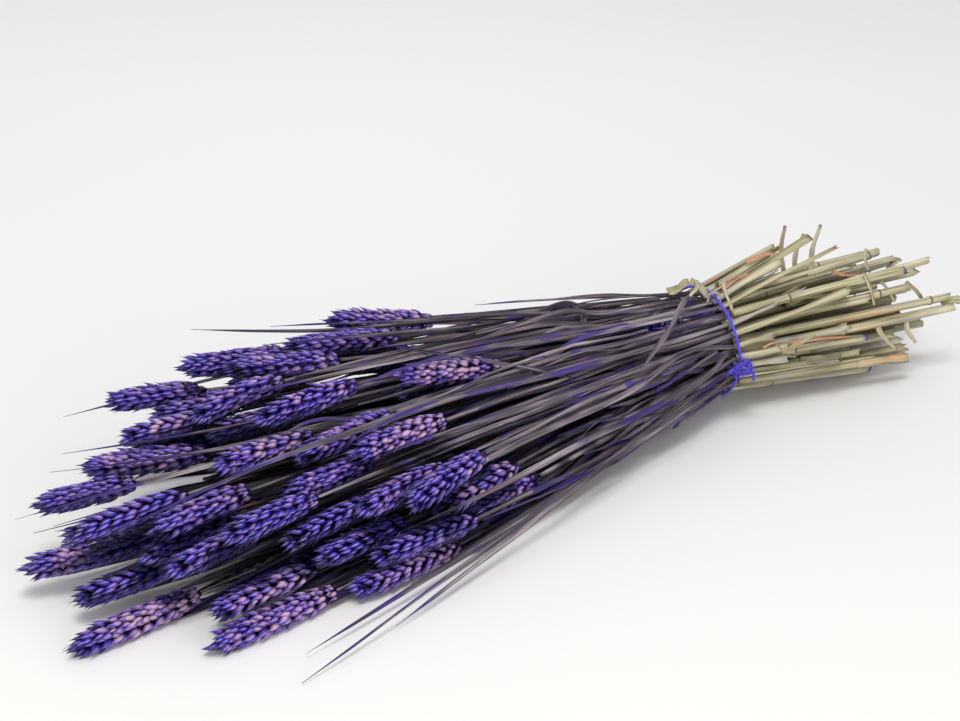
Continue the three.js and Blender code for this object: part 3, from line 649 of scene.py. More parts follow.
def husk_paint():
    """Papery scales: violet at the sides and ultramarine tips, with a painted lilac highlight along the keel
    and painted shade at each scale's edges and root and inside the bundle.
    """
    paint = Paint("dyed_husk", 0.5)
    patches, flecks = paint.noise(paint.place, 60.0, 3.0), paint.noise(paint.place, 700.0, 3.0)
    colour = paint.ramp(
        paint.swing(flecks, 0.5, paint.swing(patches, 0.9, paint.dye)),
        (0.0, 0.70, 0.42, 0.66), (0.16, 0.42, 0.23, 0.66), (0.34, 0.18, 0.08, 0.58),
        (0.54, 0.065, 0.027, 0.52), (0.78, 0.032, 0.015, 0.54), (1.0, 0.014, 0.007, 0.22),
    )
    keel = paint.line(paint.sum("ABSOLUTE", paint.across), -1.0, 1.0)
    # painted highlight: the middle of each scale's keel, past a fifth of its length, is blended towards pale
    # lilac
    keel_highlight = paint.line(paint.between(keel, 0.55, 1.0), paint.between(paint.along, 0.2, 0.6))
    colour = paint.blend(paint.line(keel_highlight, 0.5), colour, (0.76, 0.61, 0.95))
    # painted shade: each scale turns deep blue towards its root, where the scales overlap
    rooted = paint.between(paint.along, 0.02, 0.4)
    colour = paint.blend(paint.line(rooted, -1.0, 1.0), colour, (0.022, 0.011, 0.19))
    # painted shade: darker the deeper a point lies inside the bundle
    colour = paint.blend(1.0, colour, paint.blend(paint.depth, (1, 1, 1), (0.06, 0.04, 0.2)), "MULTIPLY")
    nerves = paint.sum("SINE", paint.line(paint.across, 16.0))
    # painted shade: darker at each scale's edges and root; the veins are the scale's own grain
    shade = paint.line(paint.between(keel, 0.0, 0.6), 0.72, 0.28)
    shade = paint.line(shade, paint.line(rooted, 0.5, 0.5))
    shade = paint.line(shade, paint.line(nerves, 0.08, 0.92))
    height = paint.line(nerves, 0.5, flecks)
    return paint.finish(paint.shaded(colour, shade), paint.line(flecks, 0.25, 0.2), height, 0.00025)


def stem_paint():
    """Stems and leaves: dull taupe streaks, stained violet in long patches, and painted shade inside the
    bundle.
    """
    paint = Paint("dyed_stem", 0.4)
    streaks = paint.streaks(0.04, 14.0, 61.0, 4.0)
    colour = paint.ramp(
        paint.swing(paint.streaks(0.012, 1.5, 37.0), 1.3, streaks),
        (0.26, 0.045, 0.036, 0.052), (0.46, 0.10, 0.082, 0.106),
        (0.62, 0.22, 0.19, 0.216), (0.8, 0.43, 0.38, 0.405),
    )
    colour = paint.tinted(colour, (0.36, 0.14, 0.13), 0.5, 0.6, 0.72, 0.02, 4.0, 83.0)
    stain = paint.sum("ADD", paint.streaks(0.022, 1.2, 29.0, 3.0), paint.dye)
    stain = paint.between(paint.line(streaks, 0.5, stain), 0.85, 0.91)
    violet = paint.ramp(
        streaks, (0.35, 0.014, 0.007, 0.085), (0.52, 0.04, 0.019, 0.21), (0.72, 0.11, 0.06, 0.37)
    )
    colour = paint.blend(paint.line(stain, 0.92), colour, violet)
    pale = paint.between(paint.line(paint.dye, -1.0), 0.15, 0.7)
    colour = paint.blend(pale, colour, paint.ramp(streaks, (0.3, 0.34, 0.31, 0.24), (0.7, 0.72, 0.68, 0.58)))
    # painted shade: darker the deeper a point lies inside the bundle
    colour = paint.shaded(colour, paint.line(paint.depth, -0.86, 1.0))
    return paint.finish(colour, paint.line(streaks, 0.3, 0.38), streaks, 0.0007)


def straw_paint():
    """Undyed straw: khaki and pale buff with salmon, lilac and grey streaks, and painted shade inside the
    butts. A dye over 1 stains it violet and one near 2 makes it orange, one under 0 marks a dark node or
    paints shade into a straw's hollow end."""
    paint = Paint("straw", 0.45)
    streaks = paint.streaks(0.02, 16.0, 71.0, 4.0)
    colour = paint.ramp(
        paint.swing(paint.streaks(0.008, 1.0, 43.0), 1.3, streaks),
        (0.20, 0.17, 0.15, 0.085), (0.36, 0.34, 0.30, 0.17),
        (0.54, 0.47, 0.43, 0.27), (0.75, 0.64, 0.58, 0.41),
    )
    colour = paint.tinted(colour, (0.72, 0.27, 0.12), 0.6, 0.64, 0.74, 0.014, 3.0, 91.0)
    colour = paint.tinted(colour, (0.34, 0.31, 0.37), 0.6, 0.54, 0.68, 0.018, 1.6, 53.0)
    colour = paint.tinted(colour, (0.16, 0.16, 0.14), 0.45, 0.55, 0.7, 0.02, 2.0, 17.0)
    stained = paint.line(paint.streaks(0.25, 9.0, 23.0, 3.0), 0.9, paint.line(streaks, 0.4, paint.dye))
    colour = paint.blend(paint.between(stained, 1.15, 1.4), colour, (0.07, 0.045, 0.27))
    orange = paint.ramp(
        streaks, (0.35, 0.20, 0.13, 0.06), (0.5, 0.58, 0.24, 0.12), (0.65, 0.68, 0.46, 0.32)
    )
    colour = paint.blend(paint.between(paint.dye, 1.4, 1.8), colour, orange)
    # a dye under 0 darkens a node, its own colour, and a straw's hollow end, painted shade
    dark_node_and_hollow_shade = paint.between(paint.line(paint.dye, -1.0), 0.2, 0.6)
    colour = paint.blend(paint.line(dark_node_and_hollow_shade, 0.85), colour, (0.09, 0.07, 0.035))
    # painted shade: a little darker the deeper a point lies inside the butts
    colour = paint.shaded(colour, paint.line(paint.depth, -0.3, 1.0))
    return paint.finish(colour, paint.line(streaks, 0.3, 0.33), streaks, 0.0004)


def string_paint():
    """Fluffy dyed string."""
    paint = Paint("string", 0.2)
    fibres = paint.streaks(1.6, 9.0, 13.0, 3.0)
    colour = paint.ramp(fibres, (0.25, 0.045, 0.03, 0.40), (0.5, 0.12, 0.09, 0.70), (0.75, 0.30, 0.26, 0.90))
    return paint.finish(colour, 0.85, fibres, 0.0003)


def floor_paint():
    """White paper with painted light and shade: warm and bright at the front, greyer in the middle, cool and
    bright far away, and a little darker to one side."""
    paint = Paint("floor", 0.3)
    away, aside = (
        paint.node("VectorMath", paint.place, way, operation="DOT_PRODUCT").outputs["Value"]
        for way in (FLOOR_AWAY, FLOOR_ASIDE)
    )
    # painted light and shade: the floor's brightness changes with place, as the light falls off across it
    colour = paint.ramp(
        paint.node("MapRange", away, -0.4, 0.8).outputs[0],
        (0.0, 0.84, 0.83, 0.81), (0.33, 0.795, 0.795, 0.80),
        (0.6, 0.83, 0.83, 0.855), (1.0, 0.895, 0.895, 0.92),
    )
    shade = paint.line(paint.between(aside, -0.3, 0.6), -0.05, 1.0)
    return paint.finish(paint.shaded(colour, shade), 0.7)


FLOOR_AWAY, FLOOR_ASIDE = (0.438, 0.899, 0.0), (0.899, -0.438, 0.0)
husk, stem, straw, string = husk_paint(), stem_paint(), straw_paint(), string_paint()

# ---------------------------------------------------------------- heads
# A scale is a slender pointed boat. Its section at each share of its length is a keeled arch.
SCALE_AT = np.array([0.0, 0.13, 0.32, 0.54, 0.74, 0.9])
SCALE_WIDE = np.array([0.4, 0.78, 1.0, 0.98, 0.72, 0.32])
SCALE_DEEP = np.array([0.3, 0.75, 1.0, 0.9, 0.6, 0.25])
ARCH = np.array([
    (1, 0), (0.66, 0.6), (0.22, 0.92), (0, 1.1), (-0.22, 0.92), (-0.66, 0.6), (-1, 0), (0, -0.3),
])
# Scales stand FULLER apart and are LARGER than the table of one spikelet says. The table: sideways angle,
# facing angle, share of the lean, offsets sideways, outwards and along, length, half-width, depth and beak,
# the last as a share of the length, and then the sides on which that scale grows.
SPIKELET_STEP, FULLER, LARGER = 3.9, 1.42, 1.15
SPIKELET = (
    ((22, 80, 0.45, 3.3, 0.5, -0.8, 8.0, 1.75, 1.6, 0.1), (-1, 1)),  # the glumes
    ((20, 54, 0.8, 2.7, 1.2, 0.8, 8.8, 1.8, 1.7, 0.14), (-1, 1)),  # the lower lemmas
    ((9, 24, 1.1, 1.4, 2.0, 2.6, 8.8, 1.75, 1.7, 0.18), (-1, 1)),  # the upper lemmas
    ((4, 10, 1.0, 1.3, 2.7, 0.2, 7.8, 1.7, 1.6, 0.1), (-1, 1)),  # scales that fill the inside
    ((0, 0, 1.2, 0.0, 2.2, 4.2, 7.6, 1.55, 1.6, 0.1), (1,)),  # the middle floret
)
# Spikelets lean outwards, less towards the top, and the last one hardly. The first stands FOOT from the base.
# ENDS is left out when they are counted, and ROOM_AT_ENDS when they are spaced.
LEAN, LEAN_APEX, UPRIGHT = 23, 12, 0.1
ENDS, FOOT, ROOM_AT_ENDS = 10.0, 1.5, 10.5
PLUMP_BASE, PLUMP_TOP = 0.66, 0.78
TURN_SPREAD, SIDE_SPREAD, OUT_SPREAD, FACING_SPREAD, SIZE_SPREAD = 0.07, 4, 3.5, 6, 0.06
BEAK_SPREAD, BOW = (0.5, 1.6), (-0.02, 0.03)
COLUMNS = (3, 6, 9, 12, 15, 16, 17, 18)
# The paler heads, and how much less dye they took; the others differ by a random amount. A head takes more
# at its top and less at its base, and a scale more at its tip and its root.
PALER = {1: -0.22, 2: -0.2, 7: -0.2, 34: -0.2, 22: -0.2, 3: -0.1}
HEAD_DYE, HEAD_DYE_SPREAD, SCALE_DYE_SPREAD = 0.38, (-0.1, 0.2), 0.5
TOP_DYE, BASE_DYE, TIP_DYE, ROOT_DYE = 0.45, 0.16, 0.42, 0.3
# the core's dark dye is partly painted shade for the gaps between scales
CORE_RINGS, CORE_SHARE, CORE_DYE_AND_SHADE = 14, 0.5, 0.95
AWN_COUNT, AWN_LONG, AWN_RADII, AWN_DYE = 6, (3.0, 9.0), (0.3, 0.09), 1.1
HAIR_RINGS, HAIR_HEIGHT = 6, 0.4


def scale_points(start, axis, wide, outward, sizes, beak, bow):
    """All scales at once: n x points x 3, with each point's share along and across."""
    length, half, depth = (sizes[:, k, None, None] for k in range(3))
    at, arch = np.meshgrid(np.arange(len(SCALE_AT)), np.arange(len(ARCH)), indexing="ij")
    a = np.append(SCALE_AT[at], [0, 1])
    b = np.append(SCALE_WIDE[at] * ARCH[arch, 0], [0, 0])
    c = np.append(SCALE_DEEP[at] * ARCH[arch, 1], [0, 0])
    reach = a[None, :, None] * np.ones((len(start), 1, 1))
    reach[:, -1] += beak
    points = start[:, None] + axis[:, None] * length * reach
    points = points + wide[:, None] * half * b[:, None] + outward[:, None] * depth * c[:, None]
    points = points + outward[:, None] * length * bow[:, None] * reach**2
    return points, a, np.append(np.tile(ARCH[:, 0], len(SCALE_AT)), [0, 0])


def ear_curve(base, middle, tip, t):
    pull = 2 * middle - base / 2 - tip / 2
    t = t[:, None]
    return base * (1 - t) ** 2 + 2 * pull * t * (1 - t) + tip * t**2


def grow_hair(shape, root, reach, bow, radii, luck, dye=0.0, at=None):
    """A three-sided hair from its root, whose end is moved aside by bow."""
    t = np.linspace(0, 1, HAIR_RINGS)[:, None]
    path = lying(root + reach * t + bow * t**2, HAIR_HEIGHT)
    sweep(shape, path, tube(np.linspace(*radii, HAIR_RINGS), 3), 0, luck, dye, at=at)


def spikelet_rows(rng, share, plump, last, here, ahead, face, rank):
    """The scales of one spikelet; the columns of a row end at COLUMNS."""
    lean = math.radians(mix(LEAN, LEAN_APEX, rising(share, 0.5, 0.5)) * (UPRIGHT if last else 1))
    for (angle, facing, leaning, aside, out_by, ahead_by, *sizes, beak), sides in SPIKELET:
        for way in sides:
            sideways = math.radians(angle + rng.normal(0, SIDE_SPREAD)) * way
            out = lean * leaning + math.radians(rng.normal(0, OUT_SPREAD))
            axis = ahead * math.cos(out) + rank * math.sin(out)
            axis = axis * math.cos(sideways) + face * math.sin(sideways)
            turned = math.radians(facing + rng.normal(0, FACING_SPREAD)) * way
            outward = rank * math.cos(turned) + face * math.sin(turned)
            outward = unit(outward - axis * (outward @ axis))
            start = here + ahead * ahead_by * plump + face * aside * way * plump * FULLER
            start = start + rank * (UPRIGHT if last else out_by) * plump * FULLER
            scale = plump * LARGER * rng.normal(1, SIZE_SPREAD)
            yield (
                *start, *axis, *np.cross(outward, axis), *outward, *(scale * size for size in sizes),
                beak * rng.uniform(*BEAK_SPREAD), rng.normal(*BOW), share, rng.random(),
            )


def grow_ear(number, strand, roll):
    rng = np.random.default_rng(SEED + number)
    bones = strand["knots"][strand["ear_from"]:]
    size = strand["width"] / EAR_WIDTH
    path = ear_curve(*bones, np.linspace(0, 1, 60))
    tracks = (path, *directions(path))
    run = distances(path)
    length = run[-1]
    count = int((length - ENDS * size) / (SPIKELET_STEP * size))
    rows = []
    for k in range(count + 1):
        last = k == count
        reached = FOOT + (length - ROOM_AT_ENDS * size) * k / count
        share = reached / length
        plump = size * mix(PLUMP_BASE, 1, smooth(share / 0.18)) * narrowing(share, 0.62, 0.38, PLUMP_TOP)
        here, ahead, level, above = (sampled(track, run, reached) for track in tracks)
        turn = roll + rng.normal(0, TURN_SPREAD) + (math.pi / 2 if last else 0)
        face = level * math.cos(turn) + above * math.sin(turn)
        rank = (above * math.cos(turn) - level * math.sin(turn)) * (1 if k % 2 else -1)
        rows.extend(spikelet_rows(rng, share, plump, last, here, ahead, face, rank))
    start, axis, wide, outward, sizes, beak, bow, share, luck = np.split(np.array(rows), COLUMNS, axis=1)
    points, a, b = scale_points(start, axis, wide, outward, sizes, beak, bow)
    own = PALER.get(number, rng.uniform(*HEAD_DYE_SPREAD))
    dye = HEAD_DYE + own + (luck - 0.5) * SCALE_DYE_SPREAD
    dye = dye + TOP_DYE * rising(share, 0.6, 0.4) - BASE_DYE * (1 - share)
    dye = dye + TIP_DYE * rising(a, 0.5, 0.5) + ROOT_DYE * smooth((0.3 - a) / 0.3)
    offsets = np.arange(len(rows))[:, None, None] * len(a)
    blocks = [(block + offsets).reshape(-1, block.shape[1]) for block in skin(len(SCALE_AT), len(ARCH))]
    grain = np.stack(np.broadcast_arrays(a[None], b[None], luck), axis=2)
    shape = Shape()
    shape.add(points.reshape(-1, 3), blocks, grain.reshape(-1, 3), dye.ravel())
    # the middle that the scales spring from, dyed dark; its near-black is partly painted shade for the gaps
    # between scales
    core = ear_curve(*bones, np.linspace(0.0, 0.93, CORE_RINGS))
    plump = ear_plump(np.linspace(0, 1, CORE_RINGS)) * EAR_WIDTH * size / 2
    outline = tube(plump * CORE_SHARE, 8, EAR_FLATNESS)
    sweep(shape, core, outline, roll, 0.5, CORE_DYE_AND_SHADE, at=np.zeros(CORE_RINGS))
    # a few long beard hairs
    tips = start + axis * sizes[:, :1] * 0.9
    for k in rng.choice(len(rows), AWN_COUNT, replace=False):
        reach = rng.uniform(*AWN_LONG) * size
        aim = unit(axis[k] + tracks[1][-1] * 0.8) * reach
        droop = rng.normal(0, 0.12, 3) * reach
        grow_hair(shape, tips[k], aim, droop, AWN_RADII, 0.5, AWN_DYE, np.ones(HAIR_RINGS))
    return shape


heads = [grow_ear(index + 1, strand, roll) for index, (strand, roll) in enumerate(zip(stalks, ear_rolls))]

# ---------------------------------------------------------------- stems and leaves
rng = np.random.default_rng(SEED)
STEM_STEP, LEAF_STEP, STRIP_STEP = 6.0, 4.0, 2.5
ROLLED, BROAD, SHADED = 4, 12, 320  # rolled leaves a stem, broad leaves and lower leaves
BLADE_FOLD, BLADE_CURL, BLADE_THICK, STRIP_THICK = 0.35, 0.25, (0.45, 0.25), 0.4
# A culm: how slim it is and how much slimmer past each sheath, how far it strays aside and up, where its
# sheaths end, where its node is, and how far a sheath's mouth and the node reach along it and swell.
STEM_SLIM, STEM_STEPS = (0.8, 1.02), (0.16, 0.2)
STEM_STRAY, SHEATH_ENDS, NODE_SPAN = (1.6, 1.0), ((0.25, 0.55), (0.65, 0.92)), (0.15, 0.45)
MOUTH_REACH, MOUTH_SWELL, NODE_REACH, NODE_SWELL = 14.0, 0.15, 4.0, 0.25
LEAF_TIP, STEM_HEIGHT, LEAF_HEIGHT, SINK_BY = 0.12, 2.0, 1.0, 260
FACING = np.array([-0.39, -0.79, 0.47])  # the way that loose strips show their faces
# Leaves that pass below a head: where they dip, how far and over which length.
DIPPING = {9: (-330, -110, 16)}
DIP_SLOPE = 55
# Loose leaves over the stems: their points, width, tip width and dye.
LOOSE = [
    ([(-178, 12, 84.5), (-160, 12, 85), (-141, 18, 82), (-121, 22, 85.5), (-108.5, 24, 85.8),
      (-99, 24, 84.6), (-93.5, 22, 81.9), (-94, 15, 79.3), (-96.6, 8, 76)], 2.2, 5.6, 0.0),
    ([(-133, -49.5, 68), (-152, -46, 76.5), (-170, -39, 82), (-187, -31, 85.5), (-204, -20, 88),
      (-219, -4, 87.5), (-233, 13, 86), (-241, 29, 83.5)], 3.2, 1.6, 0.3),
    ([(-36, -4, 82.5), (-52, -9, 81.6), (-80, -18, 82), (-97.8, -27.6, 82.9)], 1.8, 1.2, 0.25),
    ([(-19, -45, 61), (-33, -45.5, 56.5), (-50, -48, 51), (-70, -51, 47.5), (-92, -55, 45.6), (-111, -63, 43),
      (-130, -69.6, 40)], 2.6, 1.4, 0.35),
]
# Leaves that lie among the far stems, as far as the heads there.
FAR_LEAVES = [
    [(-28, 18, 75), (-71, 30, 74), (-110, 40, 71), (-147, 52, 68), (-180, 66, 68), (-206, 78, 65)],
    [(-159, 44, 75), (-179, 52, 69), (-202, 60, 65), (-232, 70, 60), (-258, 80, 57)],
    [(-203, 50, 58), (-230, 58, 53), (-258, 66, 45), (-284, 74, 39)],
]


def bump(at, middle, width):
    """1 at the middle and nearly 0 two widths away."""
    return np.exp(-((at - middle) / width) ** 2)


def beside(path, away, angle):
    """A path moved off another by away millimetres, at an angle round it."""
    _, side, over = directions(path)
    return path + (side * np.cos(angle)[:, None] + over * np.sin(angle)[:, None]) * away[:, None]


def culm_path(strand):
    return spline(strand["knots"][:strand["ear_from"] + 1], STEM_STEP)


def grow_blade(shape, path, wide, luck, dye, roll):
    """A dry leaf along a path; wide is its width at each point."""
    n, t = shares(path)
    fold = BLADE_FOLD + wander(n, 4, 0.35)
    curl = BLADE_CURL + wander(n, 5, 0.3)
    wide = wide * (1 + wander(n, 9, 0.12))
    outline = blade_outline(wide, fold, curl, mix(*BLADE_THICK, t))
    sweep(shape, lying(path, LEAF_HEIGHT), outline, roll, luck, dye)


def grow_stem(shape, strand, roll, paleness):
    """A culm in three lengths of sheath, the first two ending in a step, with a swollen node."""
    path = culm_path(strand)
    n, run = len(path), distances(path)
    t = run / run[-1]
    stray = np.stack([0 * t, *(wander(n, 5, far) for far in STEM_STRAY)], axis=1)
    path = path + stray * np.sin(math.pi * t)[:, None]
    ends = [rng.uniform(*span) for span in SHEATH_ENDS]
    bare, dye = np.full(n, rng.uniform(*STEM_SLIM)), np.full(n, rng.uniform(-0.1, 0.06))
    for end, step in zip(ends, STEM_STEPS):
        past = smooth((t - end) * 60)
        mouth = bump(run, end * run[-1], MOUTH_REACH) * (1 - past)
        bare = bare * (1 - step * past + MOUTH_SWELL * mouth)
        dye = dye + rng.uniform(0, 0.3) * mouth
    dye = dye - paleness * smooth((t - ends[1]) * 20)
    swell = 1 + NODE_SWELL * bump(run, rng.uniform(*NODE_SPAN) * run[-1], NODE_REACH)
    radii = culm_radius(run) * bare * swell * (1 + wander(n, 9, 0.06))
    outline = tube(radii, 12, rng.uniform(0.75, 0.98), 0.12, 5, 0.04)
    sweep(shape, lying(path, STEM_HEIGHT), outline, roll + wander(n, 3, 0.5), rng.random(), dye)
    return path, radii


def grow_rolled(shape, path, radii):
    """A dry leaf rolled up round itself, that strays along a stem and crosses its neighbours."""
    n = len(path)
    start = rng.integers(0, max(1, n // 3))
    stop = rng.integers(start + min(10, n - start - 1), n) + 1
    if stop - start < 6:
        return
    path, radii = path[start:stop], radii[start:stop]
    n, t = shares(path)
    angle = rng.uniform(-math.pi, math.pi) + wander(n, 3, 0.9)
    away = radii + rng.uniform(0.6, 3.0) + wander(n, 4, 0.9) + 3.0 * t * rng.random()
    line = lying(beside(path, away, angle), LEAF_HEIGHT)
    thick = rng.uniform(0.9, 1.9) * narrowing(t, 0.75, 0.25, 0.35) * (1 + wander(n, 7, 0.15))
    outline = tube(thick, 10, rng.uniform(0.5, 0.85), 0.3, 2, 0.12)
    roll, luck = wander(n, 4, 2.0), rng.random()
    sweep(shape, line, outline, roll, luck, rng.uniform(-0.08, 0.14) + 0.2 * rising(t, 0.8, 0.2))


def grow_strip(shape, points, wide, tip_wide, dye):
    """A loose strip of dry leaf through some points, which shows its face on the knot's side. A dye up to 1
    colours its end, a higher one all of it."""
    path = spline(points, STRIP_STEP)
    n, t = shares(path)
    fold, curl = 0.2 + wander(n, 3, 0.3), 0.2 + wander(n, 3, 0.3)
    wide = mix(wide, tip_wide, t) * (1 + wander(n, 6, 0.15))
    outline = blade_outline(wide, fold, curl, np.full(n, STRIP_THICK))
    dye = dye if dye > 1 else dye * rising(t, 0.6, 0.4)
    sweep(shape, path, outline, wander(n, 2, 0.5), rng.random(), dye, directions(path, FACING))


def shadow_line():
    """A line between two neighbouring stalks: near the string it keeps to the middle, farther out it sinks
    towards the floor. With it come its share of the way out and the shares of its points."""
    k = rng.integers(1, len(fanned) - 4)
    lines = []
    for strand in (fanned[k], fanned[k + rng.integers(1, 3)]):
        path = spline(strand["knots"], STEM_STEP)
        run = distances(path)
        lines.append(sampled(path, run / run[-1], SHADE_AT))
    first = rng.integers(0, 32)
    last = len(SHADE_AT) - int(rng.random() ** 2 * (len(SHADE_AT) - first - 18))
    path = mix(*lines, rng.random())[first:last]
    n, t = shares(path)
    path = path + np.stack([0 * t, wander(n, 3, 4.0) * smooth(t * 2), 0 * t], axis=1)
    out = smooth(-path[:, 0] / SINK_BY)
    inner = path[:, 1] * mix(0.5, 0.97, out) + FAN_LEAN * path[:, 0] * 0.5 * (1 - out)
    path[:, 1] = mix(inner, path[:, 1], out)
    inner = WAIST_HEIGHT + (path[:, 2] - WAIST_HEIGHT) * 0.6
    path[:, 2] = mix(inner, path[:, 2] * rng.uniform(0.1, 0.7), out)
    return lying(path, 2), out, t


stems, rolled, blades, shaded = Shape(), Shape(), Shape(), Shape()
for index, (strand, roll) in enumerate(zip(stalks, culm_rolls)):
    path, radii = grow_stem(stems, strand, roll, 1.0 if index == 0 else rng.uniform(0, 0.28))
    for _ in range(ROLLED):
        grow_rolled(rolled, path, radii)

for number, (strand, twist) in enumerate(zip(leaves, leaf_twists)):
    path = spline(strand["knots"], LEAF_STEP)
    if number in DIPPING:
        first, last, deep = DIPPING[number]
        path[:, 2] -= deep * rising(path[:, 0], first, DIP_SLOPE) * smooth((last - path[:, 0]) / DIP_SLOPE)
    n, t = shares(path)
    facing = np.arctan2(path[:, 1] - FAN_LEAN * path[:, 0], path[:, 2] - FAN_MIDDLE) * BLADE_FACING
    wide = mix(blade_width(t) * 1.05, 3.2, 0.4) * narrowing(t, 0.9, 0.1, LEAF_TIP)
    grow_blade(blades, path, wide, rng.random(), 0.2 * rising(t, 0.7, 0.2), facing + twist * t)

for row in FAR_LEAVES:
    path = spline(row, LEAF_STEP)
    n, t = shares(path)
    grow_blade(blades, path, 4.6 * narrowing(t, 0.8, 0.2, LEAF_TIP), rng.random(), 0.0, wander(n, 3, 0.6))

for row in LOOSE:
    grow_strip(blades, *row)

# a few broad dry leaves that lie among the stems
for strand in rng.permutation(stalks)[:BROAD]:
    path = culm_path(strand)
    start = rng.integers(0, 10)
    path = path[start:start + rng.integers(12, 40)]
    n, t = shares(path)
    if n < 8:
        continue
    away = 2.0 + wander(n, 3, 1.5) + 3 * t
    line = beside(path, away, rng.uniform(-math.pi, 0) + wander(n, 3, 1.0))
    wide = rng.uniform(2.0, 3.4) * narrowing(t, 0.7, 0.3, LEAF_TIP)
    luck, dye = rng.random(), rng.uniform(-0.1, 0.1) + 0.2 * rising(t, 0.8, 0.2)
    grow_blade(blades, line, wide, luck, dye, rng.uniform(0, math.pi) + wander(n, 3, 1.0))

# dark leaves in the shadow between and below the heads: sheets whose darkness is painted shade
fanned = sorted(stalks, key=lambda strand: strand["knots"][-1][1] / strand["knots"][-1][0])
SHADE_AT = np.linspace(0.04, 0.96, 54)
for _ in range(SHADED):
    path, out, t = shadow_line()
    wide = rng.uniform(3.5, 6.5) * (1 + 0.6 * out) * narrowing(t, 0.8, 0.2, 0.2)
    grow_blade(shaded, path, wide, rng.random(), 0.12, wander(len(t), 3, 0.8))

crown = Crown(np.concatenate([block for shape in (stems, *heads) for block in shape.points]))
stems.mesh("stems", stem, ("culms",), "dyed_stem", crown)
rolled.mesh("rolled_leaves", stem, ("culms",), "dyed_stem", crown)
blades.mesh("leaves", stem, ("culms",), "dyed_stem", crown)
# painted shade: these leaves get a depth of at least 0.8, so they stay dark
shaded.mesh("lower_leaves_painted_shade", stem, ("culms",), "dyed_stem", crown, 0.8)
for index, head in enumerate(heads):
    head.mesh(f"head_{index + 1:02d}", husk, (f"ear_{index + 1:02d}",), "dyed_ear", crown)

# ---------------------------------------------------------------- straws below the string
rng = np.random.default_rng(SEED + 1)
STRAW_STEP, SHEATH_STEP = 7.0, 5.0
STRAW_ROUND, STRAW_RIBS, STRAW_FULLER = 14, 7, 1.08
NODE_RINGS = np.array([-4, -2.2, -1.2, -0.5, 0.5, 1.2, 2.2, 4])  # round the middle of a straw's node
MOUTH = (0.74, 0.66, 0.3)  # radii of the rings inside a straw's open end
SHEATH_HALF, SHEATH_WALL, SHEATH_ROWS = 8, 0.3, 4
FLAPS = 24
# Loose strips on the straws: their points, width and dye.
STRIPS = [
    ([(-27, 10, 84), (-20, 8, 87), (-15, 6, 91.5), (-13, 5, 92)], 7.0, 0.0),
    ([(-13, 4, 92.5), (-9, 1, 91), (-6, -4, 87), (-4, -7, 83)], 6.0, 0.0),
    ([(-9, 3, 93), (-10, -1, 92), (-14, -6, 91.5), (-20, -10, 91.5), (-27, -15.5, 90.5)], 3.6, 0.9),
    ([(-5, -8, 80), (-4, -9, 87), (0, -11, 88), (2, -13, 83), (1, -14, 77)], 2.4, 0.0),
    ([(10, -4, 91), (8, -10, 86), (9, -18, 77), (7, -25, 65)], 2.8, 0.3),
    ([(114, -30, 88), (118, -34, 78), (121, -38, 64)], 3.2, 0.0),
    ([(131, -30, 78), (135, -34, 72), (139, -38, 63)], 3.0, 0.0),
    ([(155, -30, 72), (161, -36, 66), (168, -40, 55)], 3.4, 0.0),
    ([(127, -14, 98), (126, -16, 90), (130, -18, 80)], 3.0, 0.8),
    ([(34, -48, 50), (44, -53, 56), (57, -54, 61)], 3.2, 0.0),
    ([(178, -44, 57), (186, -46, 58), (196, -47, 56)], 8.0, 0.0),
    ([(12, 0, 83), (23, 0, 89), (34, 0, 91)], 3.6, 2.0),
    ([(38, 10, 95), (52, 10, 98), (71, 10, 95)], 3.4, 2.0),
    ([(89, -25, 92), (102, -25, 86), (117, -25, 84)], 3.0, 2.0),
    ([(43, -45, 53), (65, -44.5, 51.5), (104, -43, 44.5)], 3.0, 2.0),
    ([(108.5, -30, 72), (107, -31, 68), (104, -31, 65.5)], 2.2, 2.0),
    ([(17, -48, 57), (24, -49, 60), (33, -48, 52)], 2.4, 2.0),
]


def grow_straw(shape, chain, radius, luck):
    """A hollow straw with a swollen node and a ragged open end."""
    path = spline([chain[0], mix(*chain, 0.5) + rng.normal(0, 1.3, 3) * [0, 1, 1], chain[1]], STRAW_STEP)
    run = distances(path)
    node_at = rng.uniform(0.2, 0.9) * run[-1]
    fine = np.sort(np.concatenate([run, node_at + NODE_RINGS]))
    fine = fine[(fine > 0.5) & (fine < run[-1] - 0.5)]
    path, run, n = sampled(path, run, fine), fine, len(fine)
    radii = radius * STRAW_FULLER * (1 + 0.22 * bump(run, node_at, 2.0)) * (1 + wander(n, 4, 0.05))
    # the last rings turn back into the open end
    order = np.concatenate([np.arange(n), [n - 1, n - 2, n - 3]])
    radii = np.concatenate([radii, radii[[n - 1, n - 2, n - 3]] * MOUTH])
    outline = tube(radii, STRAW_ROUND, rng.uniform(0.72, 1.0), 0.0, STRAW_RIBS, 0.03)
    dye = -0.9 * bump(run[order], node_at + 0.8, 0.9)
    dye[n - 1:] = rng.choice([0.0, 0.35, 0.9], p=[0.35, 0.3, 0.35])
    # the two innermost rings of the open end: dark for six straws in ten, painted shade in the hollow, and
    # stained violet for the rest
    dye[-2:] = rng.choice([-0.7, 0.8], p=[0.6, 0.4])
    rough = np.zeros((len(order), STRAW_ROUND))
    slant = np.linspace(0, math.tau, STRAW_ROUND)
    rough[n - 1:n + 1] = rng.normal(0, 0.5, STRAW_ROUND) + 1.2 * np.cos(slant + rng.uniform(0, 6))
    frame_of = tuple(way[order] for way in directions(path))
    roll = rng.uniform(0, math.pi)
    sweep(shape, path[order], outline, roll, luck, dye, frame_of, run[order], rough)
    return path, radii[:n]


